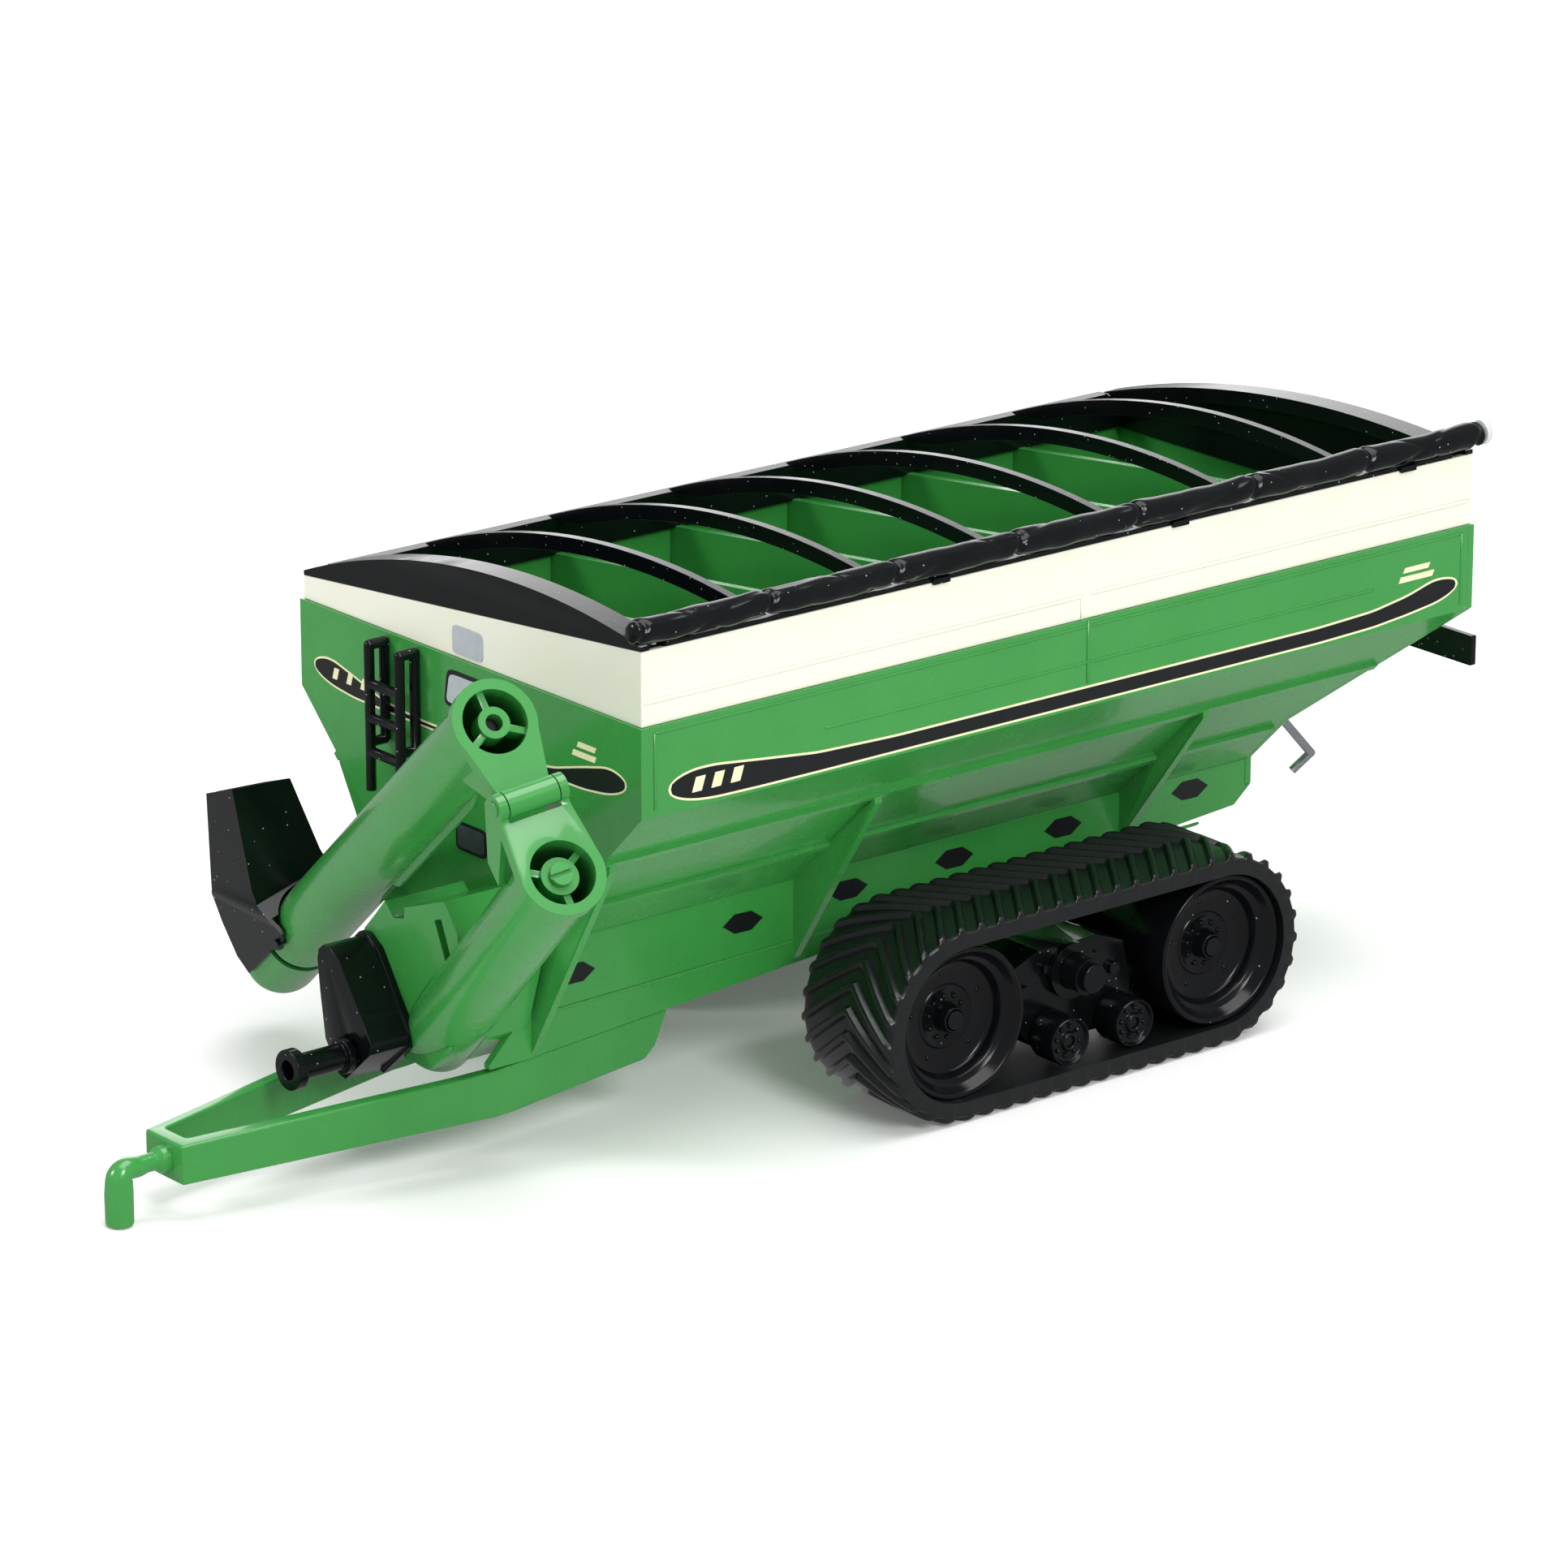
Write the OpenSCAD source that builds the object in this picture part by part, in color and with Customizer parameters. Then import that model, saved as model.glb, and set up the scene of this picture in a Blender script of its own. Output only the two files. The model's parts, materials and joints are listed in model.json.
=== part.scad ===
// Grain cart on two rubber tracks, a 1:64 collector's replica, with a front auger that folds.
// Origin: tip of the hitch peg on the ground, centre plane. +X forward, +Y left, +Z up.

/* [Tank] */
// Length of the tank, front sheet to rear sheet
tank_l = 111.5; // [95:0.5:135]
// Width of the green tank outside
tank_w = 56.2; // [50:0.1:66]
// Thickness of every tank sheet
sheet = 0.9; // [0.6:0.1:1.4]
// Distance from the hitch peg back to the front sheet
tank_back = 43; // [40:0.5:50]
// Height of the tank's bottom edge at the front sheet
belly_front = 9.9; // [9:0.1:11]
// Rise of the tank's bottom edge for each millimetre rearwards
belly_slope = 0.07; // [0.05:0.005:0.08]
// Height where the sloping side sheets meet the trough
trough_z = 21.5; // [20:0.1:24]
// Width of the trough outside
trough_w = 19; // [17:0.1:20]
// Height where the side sheets turn from upright to sloping
knee_z = 39.9; // [37:0.1:44]
// Height of the joint between green sheets and the pale band
band_z = 49.1; // [47:0.1:52]
// Height of the pale band's top on the left side
band_left_z = 56.8; // [55:0.1:60]
// Height of the pale band's top on the right side
band_right_z = 51.6; // [51:0.1:54]
// How far the green sheets stand out from the pale band
band_inset = 0.3; // [0.1:0.05:0.6]
// How far the rear sheet's foot stands forward of its top
rear_run = 14; // [11:0.5:17]
// Height of the rear sheet's foot
rear_foot_z = 27; // [25:0.5:30]
// Depth of the ribs along the sloping sheets
rib_d = 0.5; // [0.3:0.05:0.8]

/* [Roof] */
// Number of roof bows between the two end caps
bow_n = 6; // [4:1:8]
// Rise of each roof arch above its ends
arch_rise = 4.0; // [3:0.1:5]
// Rise of the rear cap's arch above its ends
rear_rise = 2.9; // [2.2:0.1:4]
// Height of a bow's bar
bow_h = 1.6; // [1:0.1:2.4]
// Width of a bow's bar along the tank
bow_t = 1.0; // [0.8:0.1:1.6]
// Width of an end cap's arched rim along the tank
cap_t = 3.0; // [2:0.1:4]
// Height of the black rail along each top edge
rail_h = 0.5; // [0.4:0.1:1]
// Width of the black rails
rail_w = 1.5; // [1.2:0.1:2.2]
// Diameter of the rolled tarp
tarp_d = 3.0; // [2.4:0.1:3.6]
// How far the rolled tarp reaches past each end of the tank
tarp_over = 1.0; // [0.5:0.1:2]

/* [Tongue] */
// Radius of the hitch peg
peg_r = 1.4; // [1.1:0.05:1.8]
// Free length of the hitch peg below its arm
peg_l = 4.4; // [3.8:0.1:5]
// Distance from the peg back to the tongue's front face
tongue_back = 5.4; // [4.5:0.1:7]
// Width of the tongue at the front
tongue_w = 6.4; // [5.5:0.1:8]
// Bottom of the tongue at the front
tongue_z = 3.7; // [3.2:0.1:4.5]
// Height of the tongue at the front
tongue_h = 4.1; // [3.6:0.1:5]
// Thickness of a tongue rail
tongue_t = 1.4; // [1:0.1:2]
// How far the tongue rails run back under the tank
tongue_under = 18; // [12:0.5:24]

/* [Auger] */
// Forward place of the lower tube's mouth, ahead of the front sheet
mouth_x = 16.5; // [16:0.1:18]
// Sideways place of the lower tube's mouth
mouth_y = 37.2; // [36:0.1:39]
// Height of the lower tube's mouth
mouth_z = 40.7; // [40:0.1:42]
// Climb of the auger above level
auger_climb = 38.5; // [37:0.1:40]
// Forward lean of the auger from straight sideways
auger_lean = 16.9; // [15:0.1:18]
// Turn of the hinge about the auger's own axis
hinge_turn = 11.6; // [9:0.1:13]
// Outside radius of both auger tubes
tube_r = 3.85; // [3.5:0.05:4.1]
// Wall of both auger tubes
tube_wall = 0.6; // [0.4:0.05:0.9]
// Outside radius of the mouth flanges
flange_r = 4.3; // [4.2:0.05:4.8]
// Thickness of each mouth flange
flange_t = 1.4; // [1:0.1:2]
// Gap between the two mouths when the auger is unfolded
mouth_gap = 0.3; // [0.2:0.05:0.6]
// Distance from a mouth's centre to the hinge pin
hinge_off = 8.0; // [7.6:0.1:9]
// Fold of the auger in its parked pose
fold_angle = 176.5; // [170:0.5:177]
// Radius of the hinge pin
hinge_pin_r = 0.75; // [0.5:0.05:1]
// Length of the lower tube from its mouth
lower_l = 46.5; // [44:0.5:48]
// Length of the upper auger from its mouth to its elbow's centre
upper_l = 77; // [72:0.5:79]
// Radius of the auger shafts
shaft_r = 0.8; // [0.6:0.05:1.1]
// Radial clearance of every turning fit
run_fit = 0.06; // [0.03:0.01:0.1]

/* [Spout] */
// Length of the rounded elbow past the upper tube's end ring
elbow_l = 8.2; // [7.4:0.1:9]
// Height of the chute below the elbow's centre
chute_l = 25; // [22:0.5:27]
// Width of the chute at its flange
chute_w = 9.2; // [8.8:0.1:10]
// Width of the chute at its mouth
chute_mouth_w = 6.6; // [6:0.1:8]
// Depth of the chute at its flange, along the auger
chute_d = 8.8; // [8:0.1:9.6]
// Depth of the chute at its mouth
chute_mouth_d = 5.4; // [5:0.1:6.5]
// How much shorter the chute is on its far side
chute_skew = 1.7; // [0.5:0.1:2]
// Wall of the chute
chute_wall = 0.45; // [0.35:0.05:0.6]

/* [Gear cover] */
// Forward face of the auger boot, ahead of the front sheet
boot_x = 9.8; // [9:0.1:11]
// Depth of the gear cover
cover_t = 5.4; // [4.5:0.1:6.5]
// Tilt of the gear cover about the cart's long axis
cover_tilt = 34.4; // [30:0.1:38]
// Height of the power take-off shaft
pto_z = 11.3; // [11:0.1:12]
// Radius of the power take-off shaft's tube
pto_r = 1.35; // [1.1:0.05:1.6]
// Free length of the power take-off shaft
pto_l = 7.2; // [6:0.1:9]

/* [Tracks] */
// Distance between a track's two big wheels
wheel_base = 35.1; // [32:0.1:39]
// Middle of the tracks behind the front sheet
track_mid = 56.8; // [52:0.1:60]
// Radius of a big wheel
wheel_r = 8.1; // [7.4:0.1:9]
// Thickness of the belt with its tread
belt_t = 2.3; // [1.8:0.1:2.8]
// Width of the belt
belt_w = 14; // [12:0.5:16]
// Outer face of each belt from the centre plane
belt_out = 31; // [30:0.5:36]
// Gap between a wheel and the belt
belt_gap = 0.14; // [0.1:0.02:0.2]
// Radius of a small roller
roller_r = 2.6; // [2.2:0.05:2.9]
// Distance between the two small rollers
roller_pitch = 8.8; // [8:0.1:10]
// How far the pair of rollers sits behind the cross axle
roller_back = 1.6; // [1:0.1:2.4]
// Radius of the cross axle
axle_r = 1.9; // [1.5:0.05:2.2]
// Height of the cross axle above the wheel centres
axle_rise = 0.8; // [0:0.1:1.5]
// Radius of the stub pins that carry the big wheels
stub_r = 1.0; // [0.8:0.05:1.3]

/* [Fittings] */
// Height of the rear light bar
bar_h = 3.3; // [2.5:0.1:4.5]
// Width of the rear light bar across the cart
bar_w = 57; // [50:0.5:62]
// Diameter of the bent rear handle
handle_d = 0.95; // [0.8:0.05:1.2]
// Diameter of the ladder's rails
ladder_d = 0.9; // [0.7:0.05:1.2]
// Width of the ladder
ladder_w = 5.1; // [4.5:0.1:6]
// How far the ladder stands off the front sheet
ladder_off = 2.3; // [2:0.1:2.4]

/* [Hidden] */
$fn = 64;
green = "#3f9d53";
pale = "#f2f1e2";
black = "#17191b";
grey = "#b9bdc0";
seat_gap = 0.05;
big = 400;

front_x = -tank_back;
rear_x = front_x - tank_l;
half_w = tank_w / 2;
band_half = half_w - band_inset;
trough_half = trough_w / 2;
side_slope = atan2(knee_z - trough_z, half_w - trough_half);
rear_slope = atan2(knee_z - rear_foot_z, rear_run);
side_lift = sheet * tan(45 - side_slope / 2);
rear_lift = sheet * tan(45 - rear_slope / 2);
foot_x = rear_x + rear_run;
belly_corner = 2.4;
toe_l = 4.8;
function belly_at(x) = belly_front + belly_slope * (front_x - x);
belly_rear = belly_at(foot_x) - 0.6;
bow_pitch = tank_l / (bow_n + 1);
skirt_t = 0.5;
skirt_z = band_z - 0.9;
skirt_in = band_half - sheet - skirt_t - 0.02;
baffle_foot = trough_z + 3;

chord = norm([2 * band_half, band_left_z - band_right_z]);
chord_tilt = atan2(band_left_z - band_right_z, 2 * band_half);
chord_mid_z = (band_left_z + band_right_z) / 2 + rail_h;
rail_dip = tan(chord_tilt) * rail_w;
function arch_r(rise) = (chord * chord / 4 + rise * rise) / (2 * rise);
tarp_y = band_half - 0.3;
tarp_z = band_left_z + rail_h + tarp_d / 2;

rail_out = trough_half - 0.2;
tongue_front = -tongue_back;
tongue_rear = front_x - tongue_under;
arm_r = 1.0;
peg_free = peg_l - 0.9;

tube_bore = tube_r - tube_wall;
ear_t = 0.9;
barrel_half = 2.7;
ear_gap = 0.12;
ear_in = barrel_half + ear_gap;
ear_out = ear_in + ear_t;
knuckle_r = 1.35;
hub_r = 1.9;
upper_hub_r = 1.6;
hub_back = 1.2;
hub_l = 2.4;
spoke_t = 0.7;
cap_r = tube_r + 0.15;
chute_gap = 0.12;
chute_back = -7;
chute_flange_z = -13;
mouth_pitch = 20.8;
mouth_roll = 20;
pivot_back = 12;
spout_pin_r = 0.45;
ring_t = 0.8;

cover_x = front_x + boot_x;
cover_face = cover_x + cover_t;
pto_flare_r = 2.1;
journal_r = 1.0;

wheel_z = wheel_r + belt_gap + belt_t;
track_x = front_x - track_mid;
axle_x = track_x;
axle_z = wheel_z + axle_rise;
belt_in = belt_out - belt_w;
plate_t = 1.4;
plate_gap = 0.3;
plate_out = belt_in - plate_gap;
plate_in = plate_out - plate_t;
wheel_in = belt_in + 0.5;
wheel_out = belt_out - 0.6;
wheel_w = wheel_out - wheel_in;
hub_depth = 3.2;
roller_w = 3.6;
roller_out = belt_out - 0.9;
roller_x = track_x - roller_back;
roller_z = belt_t + belt_gap + roller_r;
beam_out = roller_out - roller_w - 0.25;
bolt_r = 0.28;

// ---- helpers -------------------------------------------------------------

// Extrudes an outline drawn as [y, z] along X, from x0 forward to x1.
module along_x(x0, x1) {
    translate([x0, 0, 0]) rotate([90, 0, 90]) linear_extrude(x1 - x0) children();
}

// Extrudes an outline drawn as [x, z] across the cart, from y0 left to y1.
module along_y(y0, y1) {
    translate([0, y1, 0]) rotate([90, 0, 0]) linear_extrude(y1 - y0) children();
}

// A round bar between two points.
module bar(a, b, r) {
    d = b - a;
    translate(a) rotate([0, acos(d[2] / norm(d)), atan2(d[1], d[0])]) cylinder(h = norm(d), r = r);
}

// ---- tank ----------------------------------------------------------------

// Cross-section of the tank, moved inwards by t.
module tank_section(t, low, high) {
    lift = t == 0 ? 0 : side_lift;
    polygon([
        [-trough_half + t, low], [trough_half - t, low], [trough_half - t, trough_z + lift],
        [half_w - t, knee_z + lift], [half_w - t, high], [-half_w + t, high],
        [-half_w + t, knee_z + lift], [-trough_half + t, trough_z + lift]
    ]);
}

// Side view of the tank, moved inwards by t.
module tank_profile(t, high) {
    lift = t == 0 ? 0 : rear_lift;
    corner = belly_corner;
    polygon([
        [front_x - t, belly_at(front_x) + t], [front_x - t, high], [rear_x + t, high],
        [rear_x + t, knee_z + lift], [foot_x + t, rear_foot_z + lift],
        [foot_x + t, belly_rear + corner], [foot_x + t + corner, belly_at(foot_x + corner) + t]
    ]);
}

module tank_block(t = 0) {
    intersection() {
        along_x(rear_x, front_x) tank_section(t, 0, band_z);
        along_y(-half_w, half_w) tank_profile(t, band_z);
    }
}

// The end sheets and the floor: what lies outside the inner side view.
module end_sheets() {
    difference() {
        tank_block();
        along_y(-half_w - 1, half_w + 1) tank_profile(sheet, band_z + 1);
    }
}

// The side sheets and the trough's walls: what lies inside it.
module wall_sheets() {
    difference() {
        intersection() {
            tank_block();
            along_y(-half_w, half_w) tank_profile(sheet, band_z);
        }
        along_x(rear_x - 1, front_x + 1) tank_section(sheet, 0, band_z + 1);
    }
}

// Toe plates that stand forward from the front sheet's foot, grown by t.
module toe_plates(t = 0) {
    for (side = [0, 1]) mirror([0, side, 0]) along_y(trough_half - sheet - t, trough_half + t)
        polygon([
            [front_x - 0.1, belly_front], [front_x - 0.1, belly_front + 5.4 + t],
            [front_x + toe_l + t, belly_front + 0.5 + t], [front_x + toe_l + t, belly_front]
        ]);
}

module front_sheet() {
    color(green) {
        intersection() {
            end_sheets();
            translate([front_x - sheet, -half_w, 0]) cube([sheet, tank_w, band_z]);
        }
        toe_plates();
    }
}

module rear_sheet() {
    color(green) intersection() {
        end_sheets();
        translate([rear_x, -half_w, belly_rear + belly_corner])
            cube([rear_run + sheet, tank_w, band_z - belly_rear - belly_corner]);
    }
}

// Ribs that run along the outside of a sloping sheet, at a height z.
module slope_rib(z) {
    y = trough_half + (z - trough_z) / tan(side_slope);
    rear_end = max(rear_x + (knee_z - z) / tan(rear_slope), rear_x) + 1.5;
    translate([rear_end, y, z]) rotate([side_slope, 0, 0])
        translate([0, 0, -rib_d]) cube([front_x - rear_end, 0.9, rib_d]);
}

module side_sheet(side) {
    color(green) mirror([0, side < 0 ? 1 : 0, 0]) {
        intersection() {
            wall_sheets();
            translate([rear_x, 0, trough_z]) cube([tank_l, half_w, band_z]);
        }
        slope_rib(33.6);
        slope_rib(26.4);
    }
}

module trough() {
    color(green) {
        intersection() {
            wall_sheets();
            translate([rear_x, -half_w, 0]) cube([tank_l, tank_w, trough_z]);
        }
        intersection() {
            end_sheets();
            translate([foot_x, -half_w, 0])
                cube([tank_l - rear_run - sheet, tank_w, belly_rear + belly_corner]);
        }
    }
}

// The pale band: four sheets whose top edge falls from the left side to the right.
module upper_band() {
    color(pale) difference() {
        along_x(rear_x + band_inset, front_x - band_inset) polygon([
            [-band_half, band_z], [band_half, band_z],
            [band_half, band_left_z], [-band_half, band_right_z]
        ]);
        translate([rear_x + band_inset + sheet, -band_half + sheet, 0])
            cube([tank_l - 2 * band_inset - 2 * sheet, 2 * (band_half - sheet), big]);
    }
}

// Outline of a partition: the tank's inside, then between the skirts up to a bow.
module baffle_outline() {
    intersection() {
        tank_section(sheet, baffle_foot, big);
        on_chord() arch_area(bow_h + 0.02, arch_rise);
        union() {
            translate([-half_w, 0]) square([tank_w, skirt_z - seat_gap]);
            translate([-skirt_in, 0]) square([2 * skirt_in, big]);
        }
    }
}

// Partitions across the tank, one under each bow.
module baffle_panels() {
    color(green) for (i = [1 : bow_n]) {
        x = front_x - i * bow_pitch;
        intersection() {
            along_x(x - sheet / 2, x + sheet / 2) baffle_outline();
            along_y(-half_w, half_w) tank_profile(sheet, 2 * band_left_z);
        }
    }
}

// ---- roof ----------------------------------------------------------------

// Moves an outline drawn about the middle of the roof's chord to its place.
module on_chord() {
    translate([0, chord_mid_z]) rotate(chord_tilt) children();
}

// The area under a roof arch of a given rise, lowered by d.
module arch_area(d, rise) {
    r = arch_r(rise);
    intersection() {
        translate([0, rise - r]) circle(r = r - d, $fn = 256);
        translate([-chord / 2, -r]) square([chord, 2 * r]);
    }
}

module arch_bar(x, w, rise) {
    along_x(x - w / 2, x + w / 2) intersection() {
        difference() {
            on_chord() arch_area(0, rise);
            on_chord() arch_area(bow_h, rise);
        }
        polygon([
            [-band_half, band_right_z + rail_h + rail_dip], [rail_w - band_half, band_right_z + rail_h + rail_dip],
            [rail_w - band_half + 0.01, band_right_z + rail_h], [band_half - rail_w, band_left_z + rail_h],
            [band_half, band_left_z + rail_h], [band_half, big], [-band_half, big]
        ]);
    }
}

// Room for the rolled tarp.
module tarp_room() {
    translate([rear_x - 5, tarp_y, tarp_z]) rotate([0, 90, 0]) cylinder(h = tank_l + 10, d = tarp_d + 2 * seat_gap);
}

module roof_bows() {
    color(black) difference() {
        for (i = [1 : bow_n]) arch_bar(front_x - i * bow_pitch, bow_t, arch_rise);
        tarp_room();
    }
}

// An end cap: an upright board under a wide arched rim.
module end_cap(x, inward, rise) {
    board_t = 1.0;
    color(black) difference() {
      union() {
        along_x(x - (inward < 0 ? board_t : 0), x + (inward < 0 ? 0 : board_t)) intersection() {
            on_chord() arch_area(0, rise);
            polygon([[-band_half, band_right_z], [band_half, band_left_z],
                     [band_half, big], [-band_half, big]]);
        }
        arch_bar(x + inward * cap_t / 2, cap_t, rise);
        skirt_x = x + inward * sheet;
        along_x(min(skirt_x, skirt_x + inward * skirt_t), max(skirt_x, skirt_x + inward * skirt_t)) intersection() {
            on_chord() arch_area(0, rise);
            translate([-skirt_in, skirt_z]) square([2 * skirt_in, big]);
        }
      }
      tarp_room();
    }
}

module front_cap() end_cap(front_x - band_inset, -1, arch_rise);

module rear_cap() end_cap(rear_x + band_inset, 1, rear_rise);

// Rails along the top of the band, between the two end caps.
module top_rail(y, z, side) {
    rail_x0 = rear_x + band_inset + cap_t;
    rail_x1 = front_x - band_inset - cap_t;
    translate([rail_x0, side > 0 ? y - rail_w : y, z - 0.3])
        cube([rail_x1 - rail_x0, rail_w, rail_h + 0.3]);
}

// What the tilted band and its sheet take out of the rails.
module band_bite() {
    along_x(rear_x, front_x) polygon([
        [-band_half - 1, 0], [band_half + 1, 0],
        [band_half + 1, band_left_z + tan(chord_tilt)], [-band_half - 1, band_right_z - tan(chord_tilt)]
    ]);
}

// The skirt that hangs inside the pale band, from its top edge at y down to the green sheets.
module skirt(y, top_z) {
    skirt_x0 = rear_x + band_inset + sheet + skirt_t;
    skirt_x1 = front_x - band_inset - sheet - skirt_t;
    translate([skirt_x0, y, skirt_z]) cube([skirt_x1 - skirt_x0, skirt_t, top_z - skirt_z]);
}

module left_rail() {
    color(black) {
        difference() {
            top_rail(band_half, band_left_z, 1);
            band_bite();
        }
        skirt(band_half - sheet - skirt_t, band_left_z + 0.1);
    }
}

module right_rail() {
    color(black) {
        difference() {
            top_rail(-band_half, band_right_z + tan(chord_tilt) * rail_w, -1);
            band_bite();
        }
        skirt(sheet - band_half, band_right_z + tan(chord_tilt) * rail_w + 0.2);
    }
}

module tarp_roll() {
    color(black) translate([rear_x - tarp_over, tarp_y, tarp_z]) rotate([0, 90, 0])
        cylinder(h = tank_l + 2 * tarp_over, d = tarp_d);
}

module tarp_end_plug() {
    color(pale) translate([rear_x - tarp_over - 0.8, tarp_y, tarp_z]) rotate([0, 90, 0])
        cylinder(h = 0.8, d = tarp_d - 0.3);
}

// Small catches below the tarp, on the outside of the left rail.
module tarp_clips() {
    color(black) for (i = [2 : 2 : bow_n + 1]) {
        x = front_x - (i + 0.45) * bow_pitch;
        translate([x, band_half, band_left_z - 0.9]) cube([2.2, 0.7, rail_h + 0.85]);
    }
}

// ---- outside of the tank ---------------------------------------------------

// A three-cornered gusset in the plane x, under the sloping sheet.
module gusset(x, top_y, foot_z, t) {
    top_z = trough_z + (top_y - trough_half) * tan(side_slope);
    for (side = [0, 1]) mirror([0, side, 0]) along_x(x - t / 2, x + t / 2)
        polygon([[trough_half, foot_z], [top_y, top_z - 1.4], [top_y, top_z], [trough_half, trough_z]]);
}

module side_gussets() {
    gusset_t = 0.9;
    top_y = 22.4;
    color(green) difference() {
        union() {
            gusset(front_x - 0.9, top_y, belly_front + 0.5, gusset_t);
            gusset(front_x - 34.6, top_y, belly_at(front_x - 34.6) + 0.6, gusset_t);
            gusset(front_x - 79, top_y, belly_at(front_x - 79) + 0.6, gusset_t);
        }
        for (side = [0, 1]) mirror([0, side, 0]) {
            slope_rib(33.6);
            slope_rib(26.4);
        }
    }
}

// Sight windows in the front: one in the pale band and two in the green sheet.
module sight_windows() {
    pane_t = 0.25;
    win_w = 6;
    color(grey) {
        translate([front_x - band_inset, -win_w / 2, 49.9]) cube([pane_t, win_w * 0.93, 2.7]);
        translate([front_x, -win_w / 2, 45.2]) cube([pane_t, win_w, 2.6]);
        translate([front_x, -win_w / 2 + 0.5, 30.2]) cube([pane_t, win_w - 0.5, 2.6]);
    }
}

module ladder() {
    rail_y = -8;
    top_z = 48.2;
    r = ladder_d / 2;
    color(black) for (y = [rail_y, rail_y - ladder_w]) {
        low_z = y == rail_y ? 34.5 : 33;
        bar([front_x + ladder_off, y, low_z], [front_x + ladder_off, y, top_z], r);
        bar([front_x + ladder_off, y, top_z], [front_x + r, y, top_z], r);
        translate([front_x + ladder_off, y, top_z]) sphere(r = r);
        bar([front_x + r, y, 38], [front_x + r, y, top_z], r);
        translate([front_x + r, y, top_z]) sphere(r = r);
        bar([front_x + r, y, 38], [front_x + ladder_off, y, 38], r);
    }
    color(black) for (z = [37, 40.6, 44.2])
        bar([front_x + ladder_off, rail_y - ladder_w, z], [front_x + ladder_off, rail_y, z], r);
}

// ---- tongue and hitch ------------------------------------------------------

// Plan of the tongue: narrow at the hitch and as wide as the trough under the tank.
module tongue_plan(t) {
    front = tongue_front - 4 * t;
    w = tongue_w / 2 - t;
    wide = rail_out - t;
    polygon([
        [front, -w], [front, w], [front_x + 4, wide], [tongue_rear - 4 * t, wide],
        [tongue_rear - 4 * t, -wide], [front_x + 4, -wide]
    ]);
}

module tongue() {
    bottom_rear = 6.3;
    top_rear = belly_at(tongue_rear);
    color(green) difference() {
        intersection() {
            linear_extrude(30) tongue_plan(0);
            along_y(-half_w, half_w) polygon([
                [tongue_front, tongue_z], [tongue_front, tongue_z + tongue_h],
                [front_x + 8, tongue_z + tongue_h + 1.4], [front_x, belly_front],
                [tongue_rear, top_rear], [tongue_rear + 1.6, bottom_rear + 1.2],
                [tongue_rear + 3, bottom_rear], [front_x + 2, tongue_z + 0.9]
            ]);
        }
        translate([0, 0, -1]) linear_extrude(40) tongue_plan(tongue_t);
    }
}

// The peg that drops into a towing clevis, with its arm and collar.
module hitch_peg() {
    arm_z = peg_l + arm_r;
    color(green) {
        cylinder(h = peg_l, r = peg_r);
        translate([0, 0, peg_free]) cylinder(h = 1.1, r = peg_r + 0.3);
        translate([0, 0, arm_z]) sphere(r = peg_r + 0.15);
        translate([tongue_front, 0, arm_z]) rotate([0, 90, 0]) cylinder(h = -tongue_front, r = arm_r);
        translate([tongue_front, 0, arm_z]) rotate([0, 90, 0]) cylinder(h = 1.1, r = arm_r + 0.6);
    }
}

// ---- axle ------------------------------------------------------------------

module cross_axle() {
    color(black) translate([axle_x, belt_out - 1.4, axle_z]) rotate([90, 0, 0])
        cylinder(h = 2 * (belt_out - 1.4), r = axle_r);
}

// Block that carries the cross axle under the trough.
module axle_saddle() {
    saddle_l = 9;
    foot_z = axle_z - axle_r - 1.2;
    color(green) difference() {
        along_y(-trough_half, trough_half) polygon([
            [axle_x - saddle_l / 2, foot_z], [axle_x + saddle_l / 2, foot_z],
            [axle_x + saddle_l / 2, belly_at(axle_x + saddle_l / 2)],
            [axle_x - saddle_l / 2, belly_at(axle_x - saddle_l / 2)]
        ]);
        translate([axle_x, trough_half + 1, axle_z]) rotate([90, 0, 0])
            cylinder(h = trough_w + 2, r = axle_r + 0.02);
    }
}

// Screws that hold the tongue up against the trough's floor.
module assembly_screws() {
    screw_r = 0.7;
    x = front_x - tongue_under / 2;
    for (side = [-1, 1]) color("silver")
        translate([x, side * (rail_out - tongue_t - 1.4), belly_at(x) - 0.9]) cylinder(h = 0.8, r = screw_r);
}

// ---- rear ------------------------------------------------------------------

// Height of the rear sheet's outer face at x.
function rear_face_z(x) = knee_z - (x - rear_x) * tan(rear_slope);

module light_bar() {
    bar_t = 0.8;
    bar_z = 33.6;
    arm_y = 14;
    color(black) {
        translate([rear_x - 0.4, -bar_w / 2, bar_z]) cube([bar_t, bar_w, bar_h]);
        for (side = [-1, 1]) difference() {
            translate([rear_x, side * arm_y - 0.6, bar_z + 0.5]) cube([6, 1.2, 1.4]);
            along_y(-half_w, half_w) polygon([
                [rear_x, knee_z], [foot_x, rear_foot_z], [foot_x, band_z], [rear_x, band_z]
            ]);
        }
    }
}

// Bent handle of the clean-out gate, turning square to the sloping rear sheet.
module rear_handle() {
    y = 10;
    seat_x = foot_x - 1.15;
    seat_z = rear_face_z(seat_x);
    reach = 10.4;
    out = [-sin(rear_slope), 0, -cos(rear_slope)];
    down = [cos(rear_slope), 0, -sin(rear_slope)];
    seat = [seat_x, y, seat_z];
    bend = seat + reach * out;
    color(grey) {
        bar(seat + 0.15 * out, bend, handle_d / 2);
        translate(bend) sphere(d = handle_d + 0.04);
        bar(bend, bend + 2.7 * down - [0, 0.8, 0], handle_d / 2);
    }
}

// ---- lower auger -----------------------------------------------------------

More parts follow.
